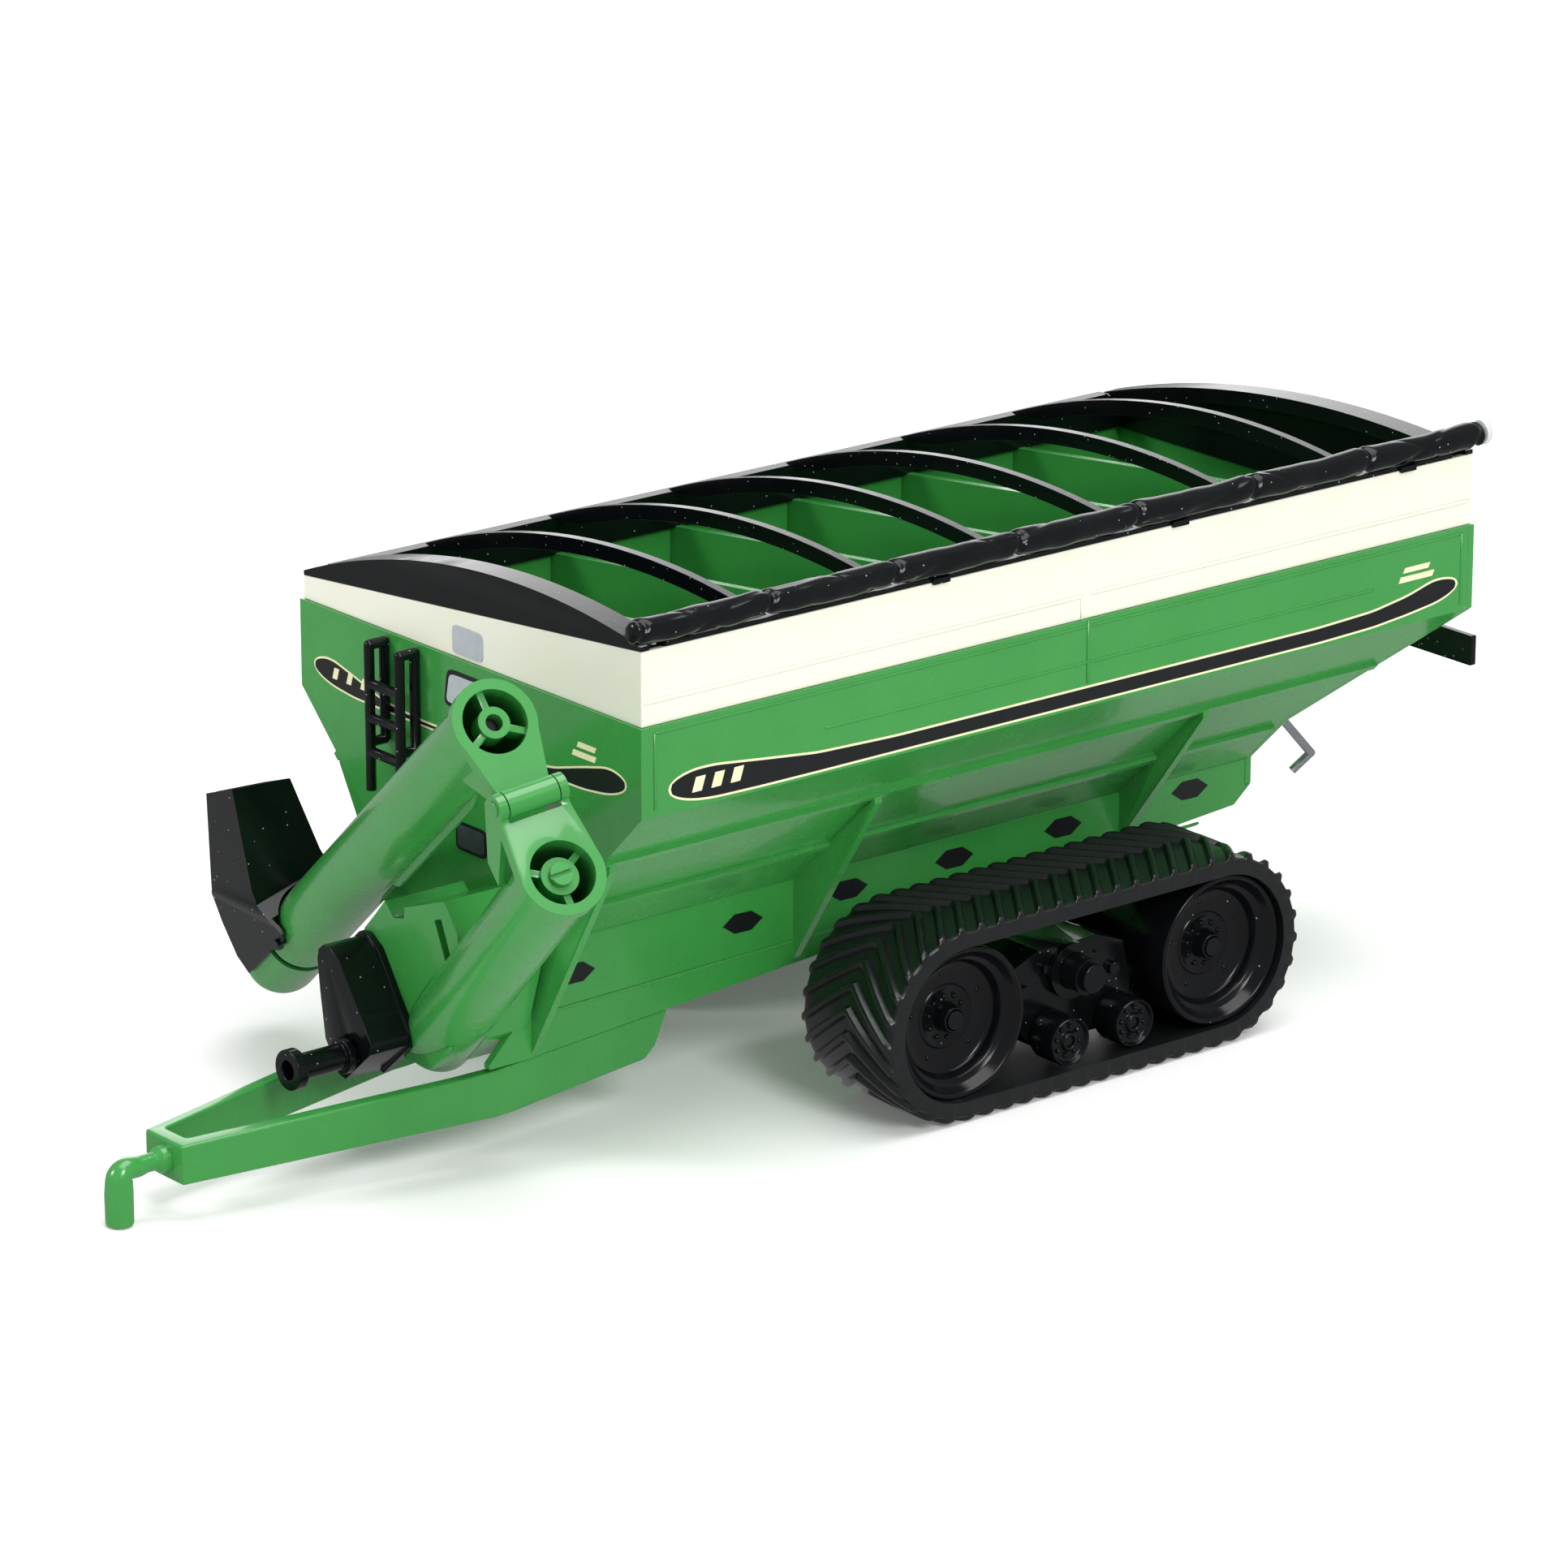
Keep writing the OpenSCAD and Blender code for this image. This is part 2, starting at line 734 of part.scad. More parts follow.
// The auger's own frame: Z up the tube, origin at the lower mouth, hinge towards -Y.
module auger_frame() {
    translate([front_x + mouth_x, mouth_y, mouth_z])
        rotate([0, 0, -auger_lean]) rotate([auger_climb - 90, 0, 0]) rotate([0, 0, hinge_turn])
            children();
}

module lower_tube() {
    color(green) auger_frame() difference() {
        translate([0, 0, -lower_l]) cylinder(h = lower_l - flange_t - mouth_gap / 2, r = tube_r);
        translate([0, 0, 1 - lower_l]) cylinder(h = lower_l, r = tube_bore);
    }
}

// Outline of a mouth flange: a round ring, and a web that widens to the hinge.
module flange_outline(web_half, web_end) {
    difference() {
        union() {
            circle(r = flange_r);
            polygon([[-flange_r, 0], [flange_r, 0], [web_half, -web_end], [-web_half, -web_end]]);
        }
        circle(r = tube_bore);
    }
}

module lower_flange() {
    top = -mouth_gap / 2;
    web_end = hinge_off - knuckle_r - 0.45;
    color(green) auger_frame() {
        difference() {
            union() {
                translate([0, 0, top - flange_t]) linear_extrude(flange_t)
                    flange_outline(ear_out, web_end);
                for (side = [0, 1]) mirror([side, 0, 0]) {
                    translate([ear_in, -hinge_off, 0]) rotate([0, 90, 0]) cylinder(h = ear_t, r = knuckle_r);
                    along_x(ear_in, ear_out) polygon([
                        [-hinge_off - knuckle_r, 0], [-hinge_off - knuckle_r, top - flange_t],
                        [-tube_r - 1.2, top - flange_t - 5.5], [-tube_r + 1.3, top - flange_t - 5.5],
                        [-web_end, top], [-hinge_off, 0]
                    ]);
                }
            }
            translate([-ear_out - 1, -hinge_off, 0]) rotate([0, 90, 0])
                cylinder(h = 2 * ear_out + 2, r = hinge_pin_r);
            translate([0, 0, -lower_l]) cylinder(h = lower_l - flange_t + top, r = tube_r);
        }
    }
}

module hinge_pin() {
    color(green) auger_frame() translate([-ear_out - 0.2, -hinge_off, 0]) rotate([0, 90, 0])
        cylinder(h = 2 * ear_out + 0.4, r = hinge_pin_r);
}

// A hub held by three spokes in a tube's bore, with its face at z = 0 and its body below.
module hub(r) {
    difference() {
        union() {
            translate([0, 0, -hub_l]) cylinder(h = hub_l, r = r);
            intersection() {
                translate([0, 0, -hub_l]) cylinder(h = hub_l - 0.5, r = tube_bore);
                for (a = [-30, 90, 210]) rotate(a)
                    translate([0, -spoke_t / 2, -hub_l]) cube([tube_bore + 1, spoke_t, hub_l - 0.5]);
            }
        }
        translate([0, 0, -hub_l - 1]) cylinder(h = hub_l + 2, r = shaft_r + run_fit);
    }
}

module lower_hub() {
    color(green) auger_frame() translate([0, 0, -hub_back]) hub(hub_r);
}

// Shaft of the lower auger, with a slotted drive dog at the mouth.
module lower_shaft() {
    dog_r = 1.15;
    color(green) auger_frame() {
        translate([0, 0, 1.2 - lower_l]) cylinder(h = lower_l - hub_back - 1.1, r = shaft_r);
        difference() {
            translate([0, 0, -hub_back + 0.06]) cylinder(h = 0.7, r = dog_r);
            translate([-dog_r - 1, -0.2, -hub_back + 0.4]) cube([2 * dog_r + 2, 0.4, 1]);
        }
    }
}

// Housing at the foot of the auger, with the cradle tabs that carry the folded tube.
module auger_boot() {
    color(green) difference() {
        along_x(front_x, cover_x) polygon([
            [-3.6, 10.2], [-4.4, 22.2], [-2.5, 24.2], [-0.9, 26.0], [0.6, 24.6], [2.3, 25.0],
            [2.4, 26.2], [9.0, 28.6], [11.1, 25.9], [12.0, 20.9], [9.6, 13.4], [6.4, 10.2]
        ]);
        auger_frame() translate([0, 0, -lower_l]) cylinder(h = lower_l, r = tube_r + 0.02);
        toe_plates(0.02);
        translate([cover_x - 2, 0, 0]) along_x(0, 3)
            polygon([[7.4, 26.2], [8.5, 26.6], [10.2, 22.6], [9.2, 22.2]]);
    }
}

// ---- gear cover and power take-off ------------------------------------------

module cover_outline() {
    polygon([
        [4.3, 7.3], [9.9, 8.0], [10.7, 8.9], [10.7, 17.8], [9.9, 19.6], [8.9, 20.2],
        [8.0, 20.1], [7.2, 19.4], [5.6, 16.4], [3.5, 12.0], [3.5, 8.1]
    ]);
}

module cover_frame() {
    rotate([cover_tilt, 0, 0]) children();
}

module gear_cover() {
    lip_t = 0.8;
    color(black) difference() {
        union() {
            cover_frame() along_x(cover_x, cover_face) cover_outline();
            cover_frame() translate([0, 7.1, 13.5]) scale(1.06) translate([0, -7.1, -13.5])
                along_x(cover_x / 1.06, (cover_x + lip_t) / 1.06) cover_outline();
        }
        translate([cover_x + 1, 0, pto_z]) rotate([0, 90, 0])
            cylinder(h = cover_t + 1, r = journal_r + run_fit);
        auger_frame() translate([0, 0, -lower_l - 2]) cylinder(h = lower_l, r = tube_r + seat_gap);
    }
}

// The shaft that a tractor's drive line slides on to.
module pto_shaft() {
    flare_l = 1.2;
    start = cover_face + 0.25;
    color(black) translate([0, 0, pto_z]) rotate([0, 90, 0]) difference() {
        union() {
            translate([0, 0, cover_x + 1.2]) cylinder(h = cover_t, r = journal_r);
            translate([0, 0, start]) cylinder(h = pto_l, r = pto_r);
            translate([0, 0, start + pto_l - flare_l]) cylinder(h = flare_l, r = pto_flare_r);
            translate([0, 0, start]) cylinder(h = 0.8, r = pto_r + 0.5);
        }
        translate([0, 0, start + pto_l - 4.5]) cylinder(h = 5, r = pto_r - 0.35);
    }
}

// ---- upper auger -----------------------------------------------------------

// The upper auger's frame, folded down by the park angle about the hinge.
module upper_frame() {
    auger_frame() translate([0, -hinge_off, 0]) rotate([fold_angle, 0, 0])
        translate([0, hinge_off, 0]) children();
}

module upper_tube() {
    start = flange_t + mouth_gap / 2;
    fin_h = 0.7;
    color(green) upper_frame() {
        difference() {
            translate([0, 0, start]) cylinder(h = upper_l - elbow_l - start, r = tube_r);
            translate([0, 0, start - 1]) cylinder(h = upper_l, r = tube_bore);
        }
        difference() {
            along_x(-0.25, 0.25) polygon([
                [-tube_r + 0.3, start + 8], [-tube_r - fin_h, start + 12],
                [-tube_r - fin_h, 39], [-tube_r + 0.3, 41]
            ]);
            translate([0, 0, start]) cylinder(h = upper_l, r = tube_r - 0.1);
        }
    }
}

module upper_flange() {
    low = mouth_gap / 2;
    neck = barrel_half - 0.2;
    color(green) upper_frame() difference() {
        union() {
            translate([0, 0, low]) linear_extrude(flange_t)
                flange_outline(neck, hinge_off);
            translate([-barrel_half, -hinge_off, 0]) rotate([0, 90, 0])
                cylinder(h = 2 * barrel_half, r = knuckle_r);
            for (side = [0, 1]) mirror([side, 0, 0]) along_x(neck - 0.8, neck) polygon([
                [-hinge_off, low + flange_t], [-tube_r + 1, low + flange_t], [-tube_r + 1, low + flange_t + 6]
            ]);
        }
        translate([-ear_out, -hinge_off, 0]) rotate([0, 90, 0])
            cylinder(h = 2 * ear_out, r = hinge_pin_r + run_fit);
        translate([0, 0, low + flange_t]) cylinder(h = upper_l, r = tube_r);
    }
}

module upper_hub() {
    color(green) upper_frame() translate([0, 0, hub_back - 0.7]) mirror([0, 0, 1]) hub(upper_hub_r);
}

// Shaft of the upper auger; its end is recessed in the hub to take the lower dog.
module upper_shaft() {
    color(black) upper_frame() translate([0, 0, hub_back + 0.9])
        cylinder(h = upper_l - elbow_l - hub_back, r = shaft_r);
}

// Axes at the elbow's centre: Z straight up and Y straight out once the auger is unfolded.
module elbow_axes() {
    translate([0, 0, upper_l]) rotate([0, 0, -hinge_turn]) rotate([90 - auger_climb, 0, 0]) children();
}

// The spout's pivot line, across the upper tube.
module spout_pivot(r, half) {
    elbow_axes() translate([-half, -pivot_back * cos(auger_climb), -pivot_back * sin(auger_climb)])
        rotate([0, 90, 0]) cylinder(h = 2 * half, r = r);
}

// The opening under the elbow where the grain drops out.
module elbow_drop(r) {
    elbow_axes() translate([0, -r - 0.4, -3 * cap_r]) cylinder(h = 3 * cap_r, r = r);
}

// Rounded end of the upper tube, which sheds the grain into the spout.
module elbow_cap() {
    start = upper_l - elbow_l + ring_t;
    color(green) upper_frame() difference() {
        union() {
            translate([0, 0, start]) cylinder(h = elbow_l - ring_t, r = cap_r);
            translate([0, 0, upper_l]) sphere(r = cap_r);
        }
        translate([0, 0, upper_l]) sphere(r = cap_r - tube_wall);
        translate([0, 0, start - 1]) cylinder(h = elbow_l - ring_t + 1, r = cap_r - tube_wall);
        elbow_drop(2.6);
    }
}

module clamp_band() {
    color(black) upper_frame() difference() {
        translate([0, 0, upper_l - elbow_l]) cylinder(h = ring_t, r = tube_r - 0.15);
        translate([0, 0, upper_l - elbow_l - 1]) cylinder(h = ring_t + 2, r = tube_bore);
    }
}

// Stub pins on both sides of the upper tube, which carry the spout.
module spout_pins() {
    color(black) upper_frame() difference() {
        spout_pivot(spout_pin_r, cap_r + chute_gap + chute_wall + 0.35);
        translate([0, 0, upper_l - 30]) cylinder(h = 30, r = tube_r);
    }
}

// Side view of the chute as [y, z], and its front view as [x, z], moved inwards by t.
module chute_side(t) {
    drop = t == 0 ? 0 : 2;
    front = chute_back + chute_d;
    polygon([
        [-pivot_back * cos(auger_climb) - 1.2 - t, -pivot_back * sin(auger_climb) - 1.4],
        [-pivot_back * cos(auger_climb) + 0.2 - t, -pivot_back * sin(auger_climb) + 1],
        [-7.4, -5.9], [-0.4, -0.5], [1.0 - t, -2.2], [front - t, -6.2],
        [front + 0.2 - t, -9.6], [front - 0.3 - t, -10.4],
        [chute_back - 0.7 + chute_mouth_d - t, -chute_l + 1.4 - drop],
        [chute_back - 0.7 + t, -chute_l - drop], [chute_back + t, chute_flange_z],
        [chute_back - 0.3 + t, chute_flange_z + 0.9], [chute_back - 0.3 + t, chute_flange_z + 1.6]
    ]);
}

module chute_front(t) {
    drop = t == 0 ? 0 : 2;
    side = cap_r + chute_gap + chute_wall - t;
    lip = chute_w / 2 - t;
    polygon([
        [-side, 2], [side, 2], [side, -9.4], [lip + 0.1, -10.2], [lip, -11.4],
        [chute_mouth_w / 2 - t, -chute_l - drop],
        [-chute_mouth_w / 2 + t, -chute_l + chute_skew - drop],
        [-lip, -11.4], [-lip - 0.1, -10.2], [-side, -9.4]
    ]);
}

module chute_block(t) {
    intersection() {
        along_x(-cap_r - 1.5, cap_r + 1.5) chute_side(t);
        along_y(-pivot_back - 2, chute_d + 4) chute_front(t);
    }
}

module spout_hood() {
    color(black) upper_frame() difference() {
        elbow_axes() difference() {
            chute_block(0);
            chute_block(chute_wall);
            translate([chute_mouth_w / 2, chute_back - 0.7, -chute_l]) rotate([mouth_pitch, mouth_roll, 0])
                translate([-20, -20, -20]) cube([40, 40, 20]);
        }
        translate([0, 0, upper_l]) sphere(r = cap_r + chute_gap);
        translate([0, 0, upper_l - 30]) cylinder(h = 30, r = cap_r + chute_gap);
        spout_pivot(spout_pin_r + run_fit, cap_r + 3);
    }
}

// ---- tracks ----------------------------------------------------------------

// A turned part whose axis runs across the cart, with its outer face at y = out.
module across(x, z, out) {
    translate([x, out, z]) rotate([90, 0, 0]) children();
}

// The belt's side view: two round ends and straight runs, grown by t.
module belt_area(t) {
    r = wheel_r + belt_gap + t;
    for (side = [-1, 1]) translate([track_x + side * wheel_base / 2, wheel_z]) circle(r = r, $fn = 128);
    translate([track_x - wheel_base / 2, wheel_z - r]) square([wheel_base, 2 * r]);
}

module belt() {
    color(black) along_y(belt_in, belt_out) difference() {
        belt_area(belt_t);
        belt_area(0);
    }
}

// A big wheel: rim, dished disc and bolted hub, with a bore for its stub pin.
module wheel() {
    rim_r = wheel_r - 0.9;
    color(black) {
        difference() {
            rotate_extrude($fn = 128) polygon([
                [stub_r + run_fit, 0.8], [2.6, 0.8], [2.6, hub_depth], [rim_r - 0.8, hub_depth - 1],
                [rim_r, 0], [wheel_r, 0], [wheel_r, wheel_w], [rim_r, wheel_w],
                [rim_r, hub_depth + 1.6], [stub_r + run_fit, hub_depth + 1.6]
            ]);
        }
        for (i = [0 : 9]) rotate(i * 36) translate([2.0, 0, 0.35]) cylinder(h = 0.5, r = bolt_r);
    }
}

module wheel_at(end) {
    across(track_x + end * wheel_base / 2, wheel_z, wheel_out) wheel();
}

// A small roller with its ring of bolts.
module roller() {
    color(black) {
        difference() {
            cylinder(h = roller_w, r = roller_r);
            translate([0, 0, -1]) cylinder(h = roller_w + 2, r = 0.5 + run_fit);
            translate([0, 0, -1]) difference() {
                cylinder(h = 1.5, r = roller_r - 0.35);
                cylinder(h = 3, r = 0.9);
            }
        }
        for (i = [0 : 7]) rotate(i * 45) translate([1.35, 0, 0.15]) cylinder(h = 0.5, r = 0.22);
    }
}

module roller_at(end) {
    across(roller_x + end * roller_pitch / 2, roller_z, roller_out) roller();
}

// The walking beam: a plate behind the wheels, a beam between them, and all the stub pins.
module track_frame() {
    beam_half = 8.6;
    color(black) difference() {
        union() {
            along_y(plate_in, plate_out) polygon([
                [track_x - wheel_base / 2 - 2.2, wheel_z - 2], [track_x + wheel_base / 2 + 2.2, wheel_z - 2],
                [track_x + wheel_base / 2 + 2.2, wheel_z + 1.6], [track_x + 5, wheel_z + 3.6],
                [track_x - 5, wheel_z + 3.6], [track_x - wheel_base / 2 - 2.2, wheel_z + 1.6]
            ]);
            along_y(plate_out, beam_out) polygon([
                [track_x - beam_half, wheel_z - 2.6], [track_x - 8.0, roller_z - 1.2],
                [track_x + 4.6, roller_z - 1.2], [track_x + beam_half, wheel_z - 2.6],
                [track_x + beam_half - 1, wheel_z + 2.2], [track_x + 4, wheel_z + 3.6],
                [track_x - 4, wheel_z + 3.6], [track_x - beam_half + 1, wheel_z + 2.2]
            ]);
            for (end = [-1, 1]) {
                across(track_x + end * wheel_base / 2, wheel_z, wheel_out - 1.2)
                    cylinder(h = wheel_out - 1.2 - plate_out, r = stub_r);
                across(roller_x + end * roller_pitch / 2, roller_z, roller_out - 0.3)
                    cylinder(h = roller_out - 0.3 - beam_out, r = 0.5);
                across(track_x + end * 3.3, wheel_z + 1.6, beam_out + 0.7) cylinder(h = 0.8, r = 0.5);
                across(track_x + end * 6, wheel_z - 0.4, beam_out + 0.6) cylinder(h = 0.7, r = 0.7);
            }
            across(axle_x, axle_z, beam_out + 1.0) cylinder(h = 1.1, r = axle_r + 1.1);
        }
        across(axle_x, axle_z, belt_out) cylinder(h = 2 * belt_out, r = axle_r + run_fit);
    }
}

// Cap that closes the end of the cross axle.
module hub_cap() {
    color(black) across(axle_x, axle_z, belt_out - 0.4) cylinder(h = 1.0, r = 1.55);
}

module on_side(side) {
    mirror([0, side < 0 ? 1 : 0, 0]) children();
}

// ---- assembly --------------------------------------------------------------

front_sheet();
rear_sheet();
side_sheet(1);  // left_side_sheet
side_sheet(-1);  // right_side_sheet
trough();
upper_band();
baffle_panels();
front_cap();
rear_cap();
roof_bows();
right_rail();
left_rail();
tarp_roll();
tarp_end_plug();
tarp_clips();
side_gussets();
sight_windows();
ladder();
tongue();
hitch_peg();
axle_saddle();
cross_axle();
light_bar();
assembly_screws();
auger_boot();
lower_tube();
lower_flange();
lower_hub();
lower_shaft();
hinge_pin();
gear_cover();
pto_shaft();
upper_tube();
upper_flange();
upper_hub();
upper_shaft();
elbow_cap();
clamp_band();
spout_pins();
spout_hood();
rear_handle();
track_frame();  // left_frame
belt();  // left_belt
hub_cap();  // left_hub_cap
wheel_at(1);  // left_front_wheel
wheel_at(-1);  // left_rear_wheel
roller_at(1);  // left_front_roller
roller_at(-1);  // left_rear_roller
on_side(-1) track_frame();  // right_frame
on_side(-1) belt();  // right_belt
on_side(-1) hub_cap();  // right_hub_cap
on_side(-1) wheel_at(1);  // right_front_wheel
on_side(-1) wheel_at(-1);  // right_rear_wheel
on_side(-1) roller_at(1);  // right_front_roller
on_side(-1) roller_at(-1);  // right_rear_roller
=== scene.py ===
"""Looks of a 1:64 die-cast grain cart on rubber tracks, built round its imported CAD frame.
Lengths are written in millimetres and turned to metres by MM. +X forward, +Y left, +Z up."""

import json

import bmesh
import bpy
import numpy as np
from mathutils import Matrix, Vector

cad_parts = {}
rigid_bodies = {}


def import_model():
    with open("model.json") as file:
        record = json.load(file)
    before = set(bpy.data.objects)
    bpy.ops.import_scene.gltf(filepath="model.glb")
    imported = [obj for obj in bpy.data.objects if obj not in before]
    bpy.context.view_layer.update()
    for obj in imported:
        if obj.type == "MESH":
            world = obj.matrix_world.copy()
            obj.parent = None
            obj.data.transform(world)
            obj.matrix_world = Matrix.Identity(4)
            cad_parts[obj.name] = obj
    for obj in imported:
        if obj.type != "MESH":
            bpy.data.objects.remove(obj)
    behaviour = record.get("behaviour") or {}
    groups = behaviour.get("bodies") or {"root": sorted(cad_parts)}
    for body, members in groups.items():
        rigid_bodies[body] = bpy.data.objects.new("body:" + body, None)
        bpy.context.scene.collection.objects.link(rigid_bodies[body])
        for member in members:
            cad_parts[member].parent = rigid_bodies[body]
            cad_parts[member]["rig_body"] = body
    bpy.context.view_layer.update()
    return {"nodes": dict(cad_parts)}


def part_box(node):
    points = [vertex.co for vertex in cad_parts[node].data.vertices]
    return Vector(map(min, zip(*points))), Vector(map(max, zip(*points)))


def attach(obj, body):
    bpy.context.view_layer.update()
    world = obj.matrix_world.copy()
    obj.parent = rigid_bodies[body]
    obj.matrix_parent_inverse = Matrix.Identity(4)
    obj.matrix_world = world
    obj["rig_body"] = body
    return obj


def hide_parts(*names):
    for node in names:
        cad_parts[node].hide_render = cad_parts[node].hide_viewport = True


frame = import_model()
nodes = frame["nodes"]
MM = 0.001

# ---- camera ------------------------------------------------------------------

EYE = Vector((0.38062, 0.56975, 0.27157))
AIM = Vector((-0.5996, -0.7358, -0.3147))
camera = bpy.data.objects.new("camera", bpy.data.cameras.new("camera"))
camera.data.lens = 172.3
camera.data.sensor_width = 36.0
camera.data.clip_start = 0.01
camera.data.clip_end = 20.0
camera.location = EYE
camera.rotation_euler = AIM.to_track_quat("-Z", "Y").to_euler()
bpy.context.scene.collection.objects.link(camera)
bpy.context.scene.camera = camera

# ---- finishes ----------------------------------------------------------------


def srgb(code):
    """A hex colour as linear RGBA: a channel c is ((c + 0.055) / 1.055) ** 2.4, or c / 12.92 when dark."""
    c = np.array([int(code[i:i + 2], 16) for i in (1, 3, 5)]) / 255.0
    c = np.where(c <= 0.04045, c / 12.92, ((c + 0.055) / 1.055) ** 2.4)
    return (*c.tolist(), 1.0)


def add(tree, kind, settings=None, inputs=None):
    """Adds one node with its settings; each input is a value, or a socket to link from."""
    node = tree.nodes.new(kind)
    for key, value in (settings or {}).items():
        setattr(node, key, value)
    for key, value in (inputs or {}).items():
        if isinstance(value, bpy.types.NodeSocket):
            tree.links.new(value, node.inputs[key])
        else:
            node.inputs[key].default_value = value
    return node


def blank(name):
    """A new material with only its output and its Object coordinates."""
    made = bpy.data.materials.new(name)
    made.use_nodes = True
    made.node_tree.nodes.clear()
    out = add(made.node_tree, "ShaderNodeOutputMaterial")
    where = add(made.node_tree, "ShaderNodeTexCoord").outputs["Object"]
    return made, made.node_tree, out, where


def per(mm):
    """Pattern scale for a feature mm across, because coordinates are in metres."""
    return 1.0 / (mm * MM)


def sprayed_enamel(name, deep, full, rough=0.27):
    """Enamel sprayed on a zinc die casting: soft pooling of colour over about 9 mm under a thin gloss
    coat whose orange-peel skin, 0.6 mm across, just softens the reflections."""
    made, t, out, where = blank(name)
    pool = add(t, "ShaderNodeTexNoise", None, {"Vector": where, "Scale": per(9), "Detail": 3.0})
    tone = add(t, "ShaderNodeMix", {"data_type": "RGBA"},
               {0: pool.outputs["Fac"], 6: srgb(deep), 7: srgb(full)})
    fleck = add(t, "ShaderNodeTexNoise", None, {"Vector": where, "Scale": per(3.5), "Detail": 1.0})
    sheen = add(t, "ShaderNodeMapRange", None,
                {"Value": fleck.outputs["Fac"], "To Min": rough - 0.015, "To Max": rough + 0.02})
    skin = add(t, "ShaderNodeTexNoise", None, {"Vector": where, "Scale": per(0.6), "Detail": 0.0})
    peel = add(t, "ShaderNodeBump", None,
               {"Height": skin.outputs["Fac"], "Strength": 0.006, "Distance": 0.00001})
    face = add(t, "ShaderNodeBsdfPrincipled", None, {
        "Base Color": tone.outputs[2], "Roughness": sheen.outputs[0], "Normal": peel.outputs[0],
        "IOR": 1.5, "Coat Weight": 0.5, "Coat Roughness": 0.07})
    t.links.new(face.outputs[0], out.inputs[0])
    return made


def gloss_moulding(name, base, haze, rough, specks, level=0.28):
    """Glossy black ABS as it leaves a polished mould: wet highlights, faint flow haze over 6 mm,
    and pale grey pinhead specks 0.15 mm across set into the colour (specks sets how many show)."""
    made, t, out, where = blank(name)
    flow = add(t, "ShaderNodeTexNoise", None, {"Vector": where, "Scale": per(6), "Detail": 4.0})
    body = add(t, "ShaderNodeMix", {"data_type": "RGBA"},
               {0: flow.outputs["Fac"], 6: srgb(base), 7: srgb(haze)})
    cells = add(t, "ShaderNodeTexVoronoi", None, {"Vector": where, "Scale": per(0.95)})
    near = add(t, "ShaderNodeMath", {"operation": "LESS_THAN"}, {0: cells.outputs["Distance"], 1: 0.085})
    pick = add(t, "ShaderNodeSeparateColor", None, {0: cells.outputs["Color"]})
    few = add(t, "ShaderNodeMath", {"operation": "GREATER_THAN"}, {0: pick.outputs[0], 1: 1.0 - specks})
    dot = add(t, "ShaderNodeMath", {"operation": "MULTIPLY"}, {0: near.outputs[0], 1: few.outputs[0]})
    tone = add(t, "ShaderNodeMix", {"data_type": "RGBA"},
               {0: dot.outputs[0], 6: body.outputs[2], 7: srgb("#9fa3a6")})
    sheen = add(t, "ShaderNodeMapRange", None,
                {"Value": flow.outputs["Fac"], "To Min": rough - 0.05, "To Max": rough + 0.08})
    ripple = add(t, "ShaderNodeTexNoise", None, {"Vector": where, "Scale": per(1.6), "Detail": 2.0})
    skin = add(t, "ShaderNodeBump", None,
               {"Height": ripple.outputs["Fac"], "Strength": 0.16, "Distance": 0.00008})
    face = add(t, "ShaderNodeBsdfPrincipled", None, {
        "Base Color": tone.outputs[2], "Roughness": sheen.outputs[0], "Normal": skin.outputs[0],
        "IOR": 1.52, "Specular IOR Level": level})
    t.links.new(face.outputs[0], out.inputs[0])
    return made


def moulded_rubber(name):
    """Black PVC belt: low sheen, fine grain 0.2 mm across, and greyer worn patches over 3 mm."""
    made, t, out, where = blank(name)
    grain = add(t, "ShaderNodeTexNoise", None, {"Vector": where, "Scale": per(0.2), "Detail": 3.0})
    wear = add(t, "ShaderNodeTexNoise", None, {"Vector": where, "Scale": per(3), "Detail": 3.0})
    tone = add(t, "ShaderNodeMix", {"data_type": "RGBA"},
               {0: wear.outputs["Fac"], 6: srgb("#0b0d0e"), 7: srgb("#181b1d")})
    sheen = add(t, "ShaderNodeMapRange", None,
                {"Value": grain.outputs["Fac"], "To Min": 0.24, "To Max": 0.38})
    skin = add(t, "ShaderNodeBump", None,
               {"Height": grain.outputs["Fac"], "Strength": 0.25, "Distance": 0.00004})
    face = add(t, "ShaderNodeBsdfPrincipled", None, {
        "Base Color": tone.outputs[2], "Roughness": sheen.outputs[0], "Normal": skin.outputs[0],
        "IOR": 1.5})
    t.links.new(face.outputs[0], out.inputs[0])
    return made


def pad_ink(name, thin, thick, rough=0.32):
    """Pad-printed ink: a flat film whose density varies a little over 1.2 mm, under a 0.3 mm screen."""
    made, t, out, where = blank(name)
    film = add(t, "ShaderNodeTexNoise", None, {"Vector": where, "Scale": per(1.2), "Detail": 4.0})
    tone = add(t, "ShaderNodeMix", {"data_type": "RGBA"},
               {0: film.outputs["Fac"], 6: srgb(thin), 7: srgb(thick)})
    screen = add(t, "ShaderNodeTexNoise", None, {"Vector": where, "Scale": per(0.3), "Detail": 1.0})
    sheen = add(t, "ShaderNodeMapRange", None,
                {"Value": screen.outputs["Fac"], "To Min": rough - 0.06, "To Max": rough + 0.08})
    face = add(t, "ShaderNodeBsdfPrincipled", None,
               {"Base Color": tone.outputs[2], "Roughness": sheen.outputs[0], "IOR": 1.48})
    t.links.new(face.outputs[0], out.inputs[0])
    return made


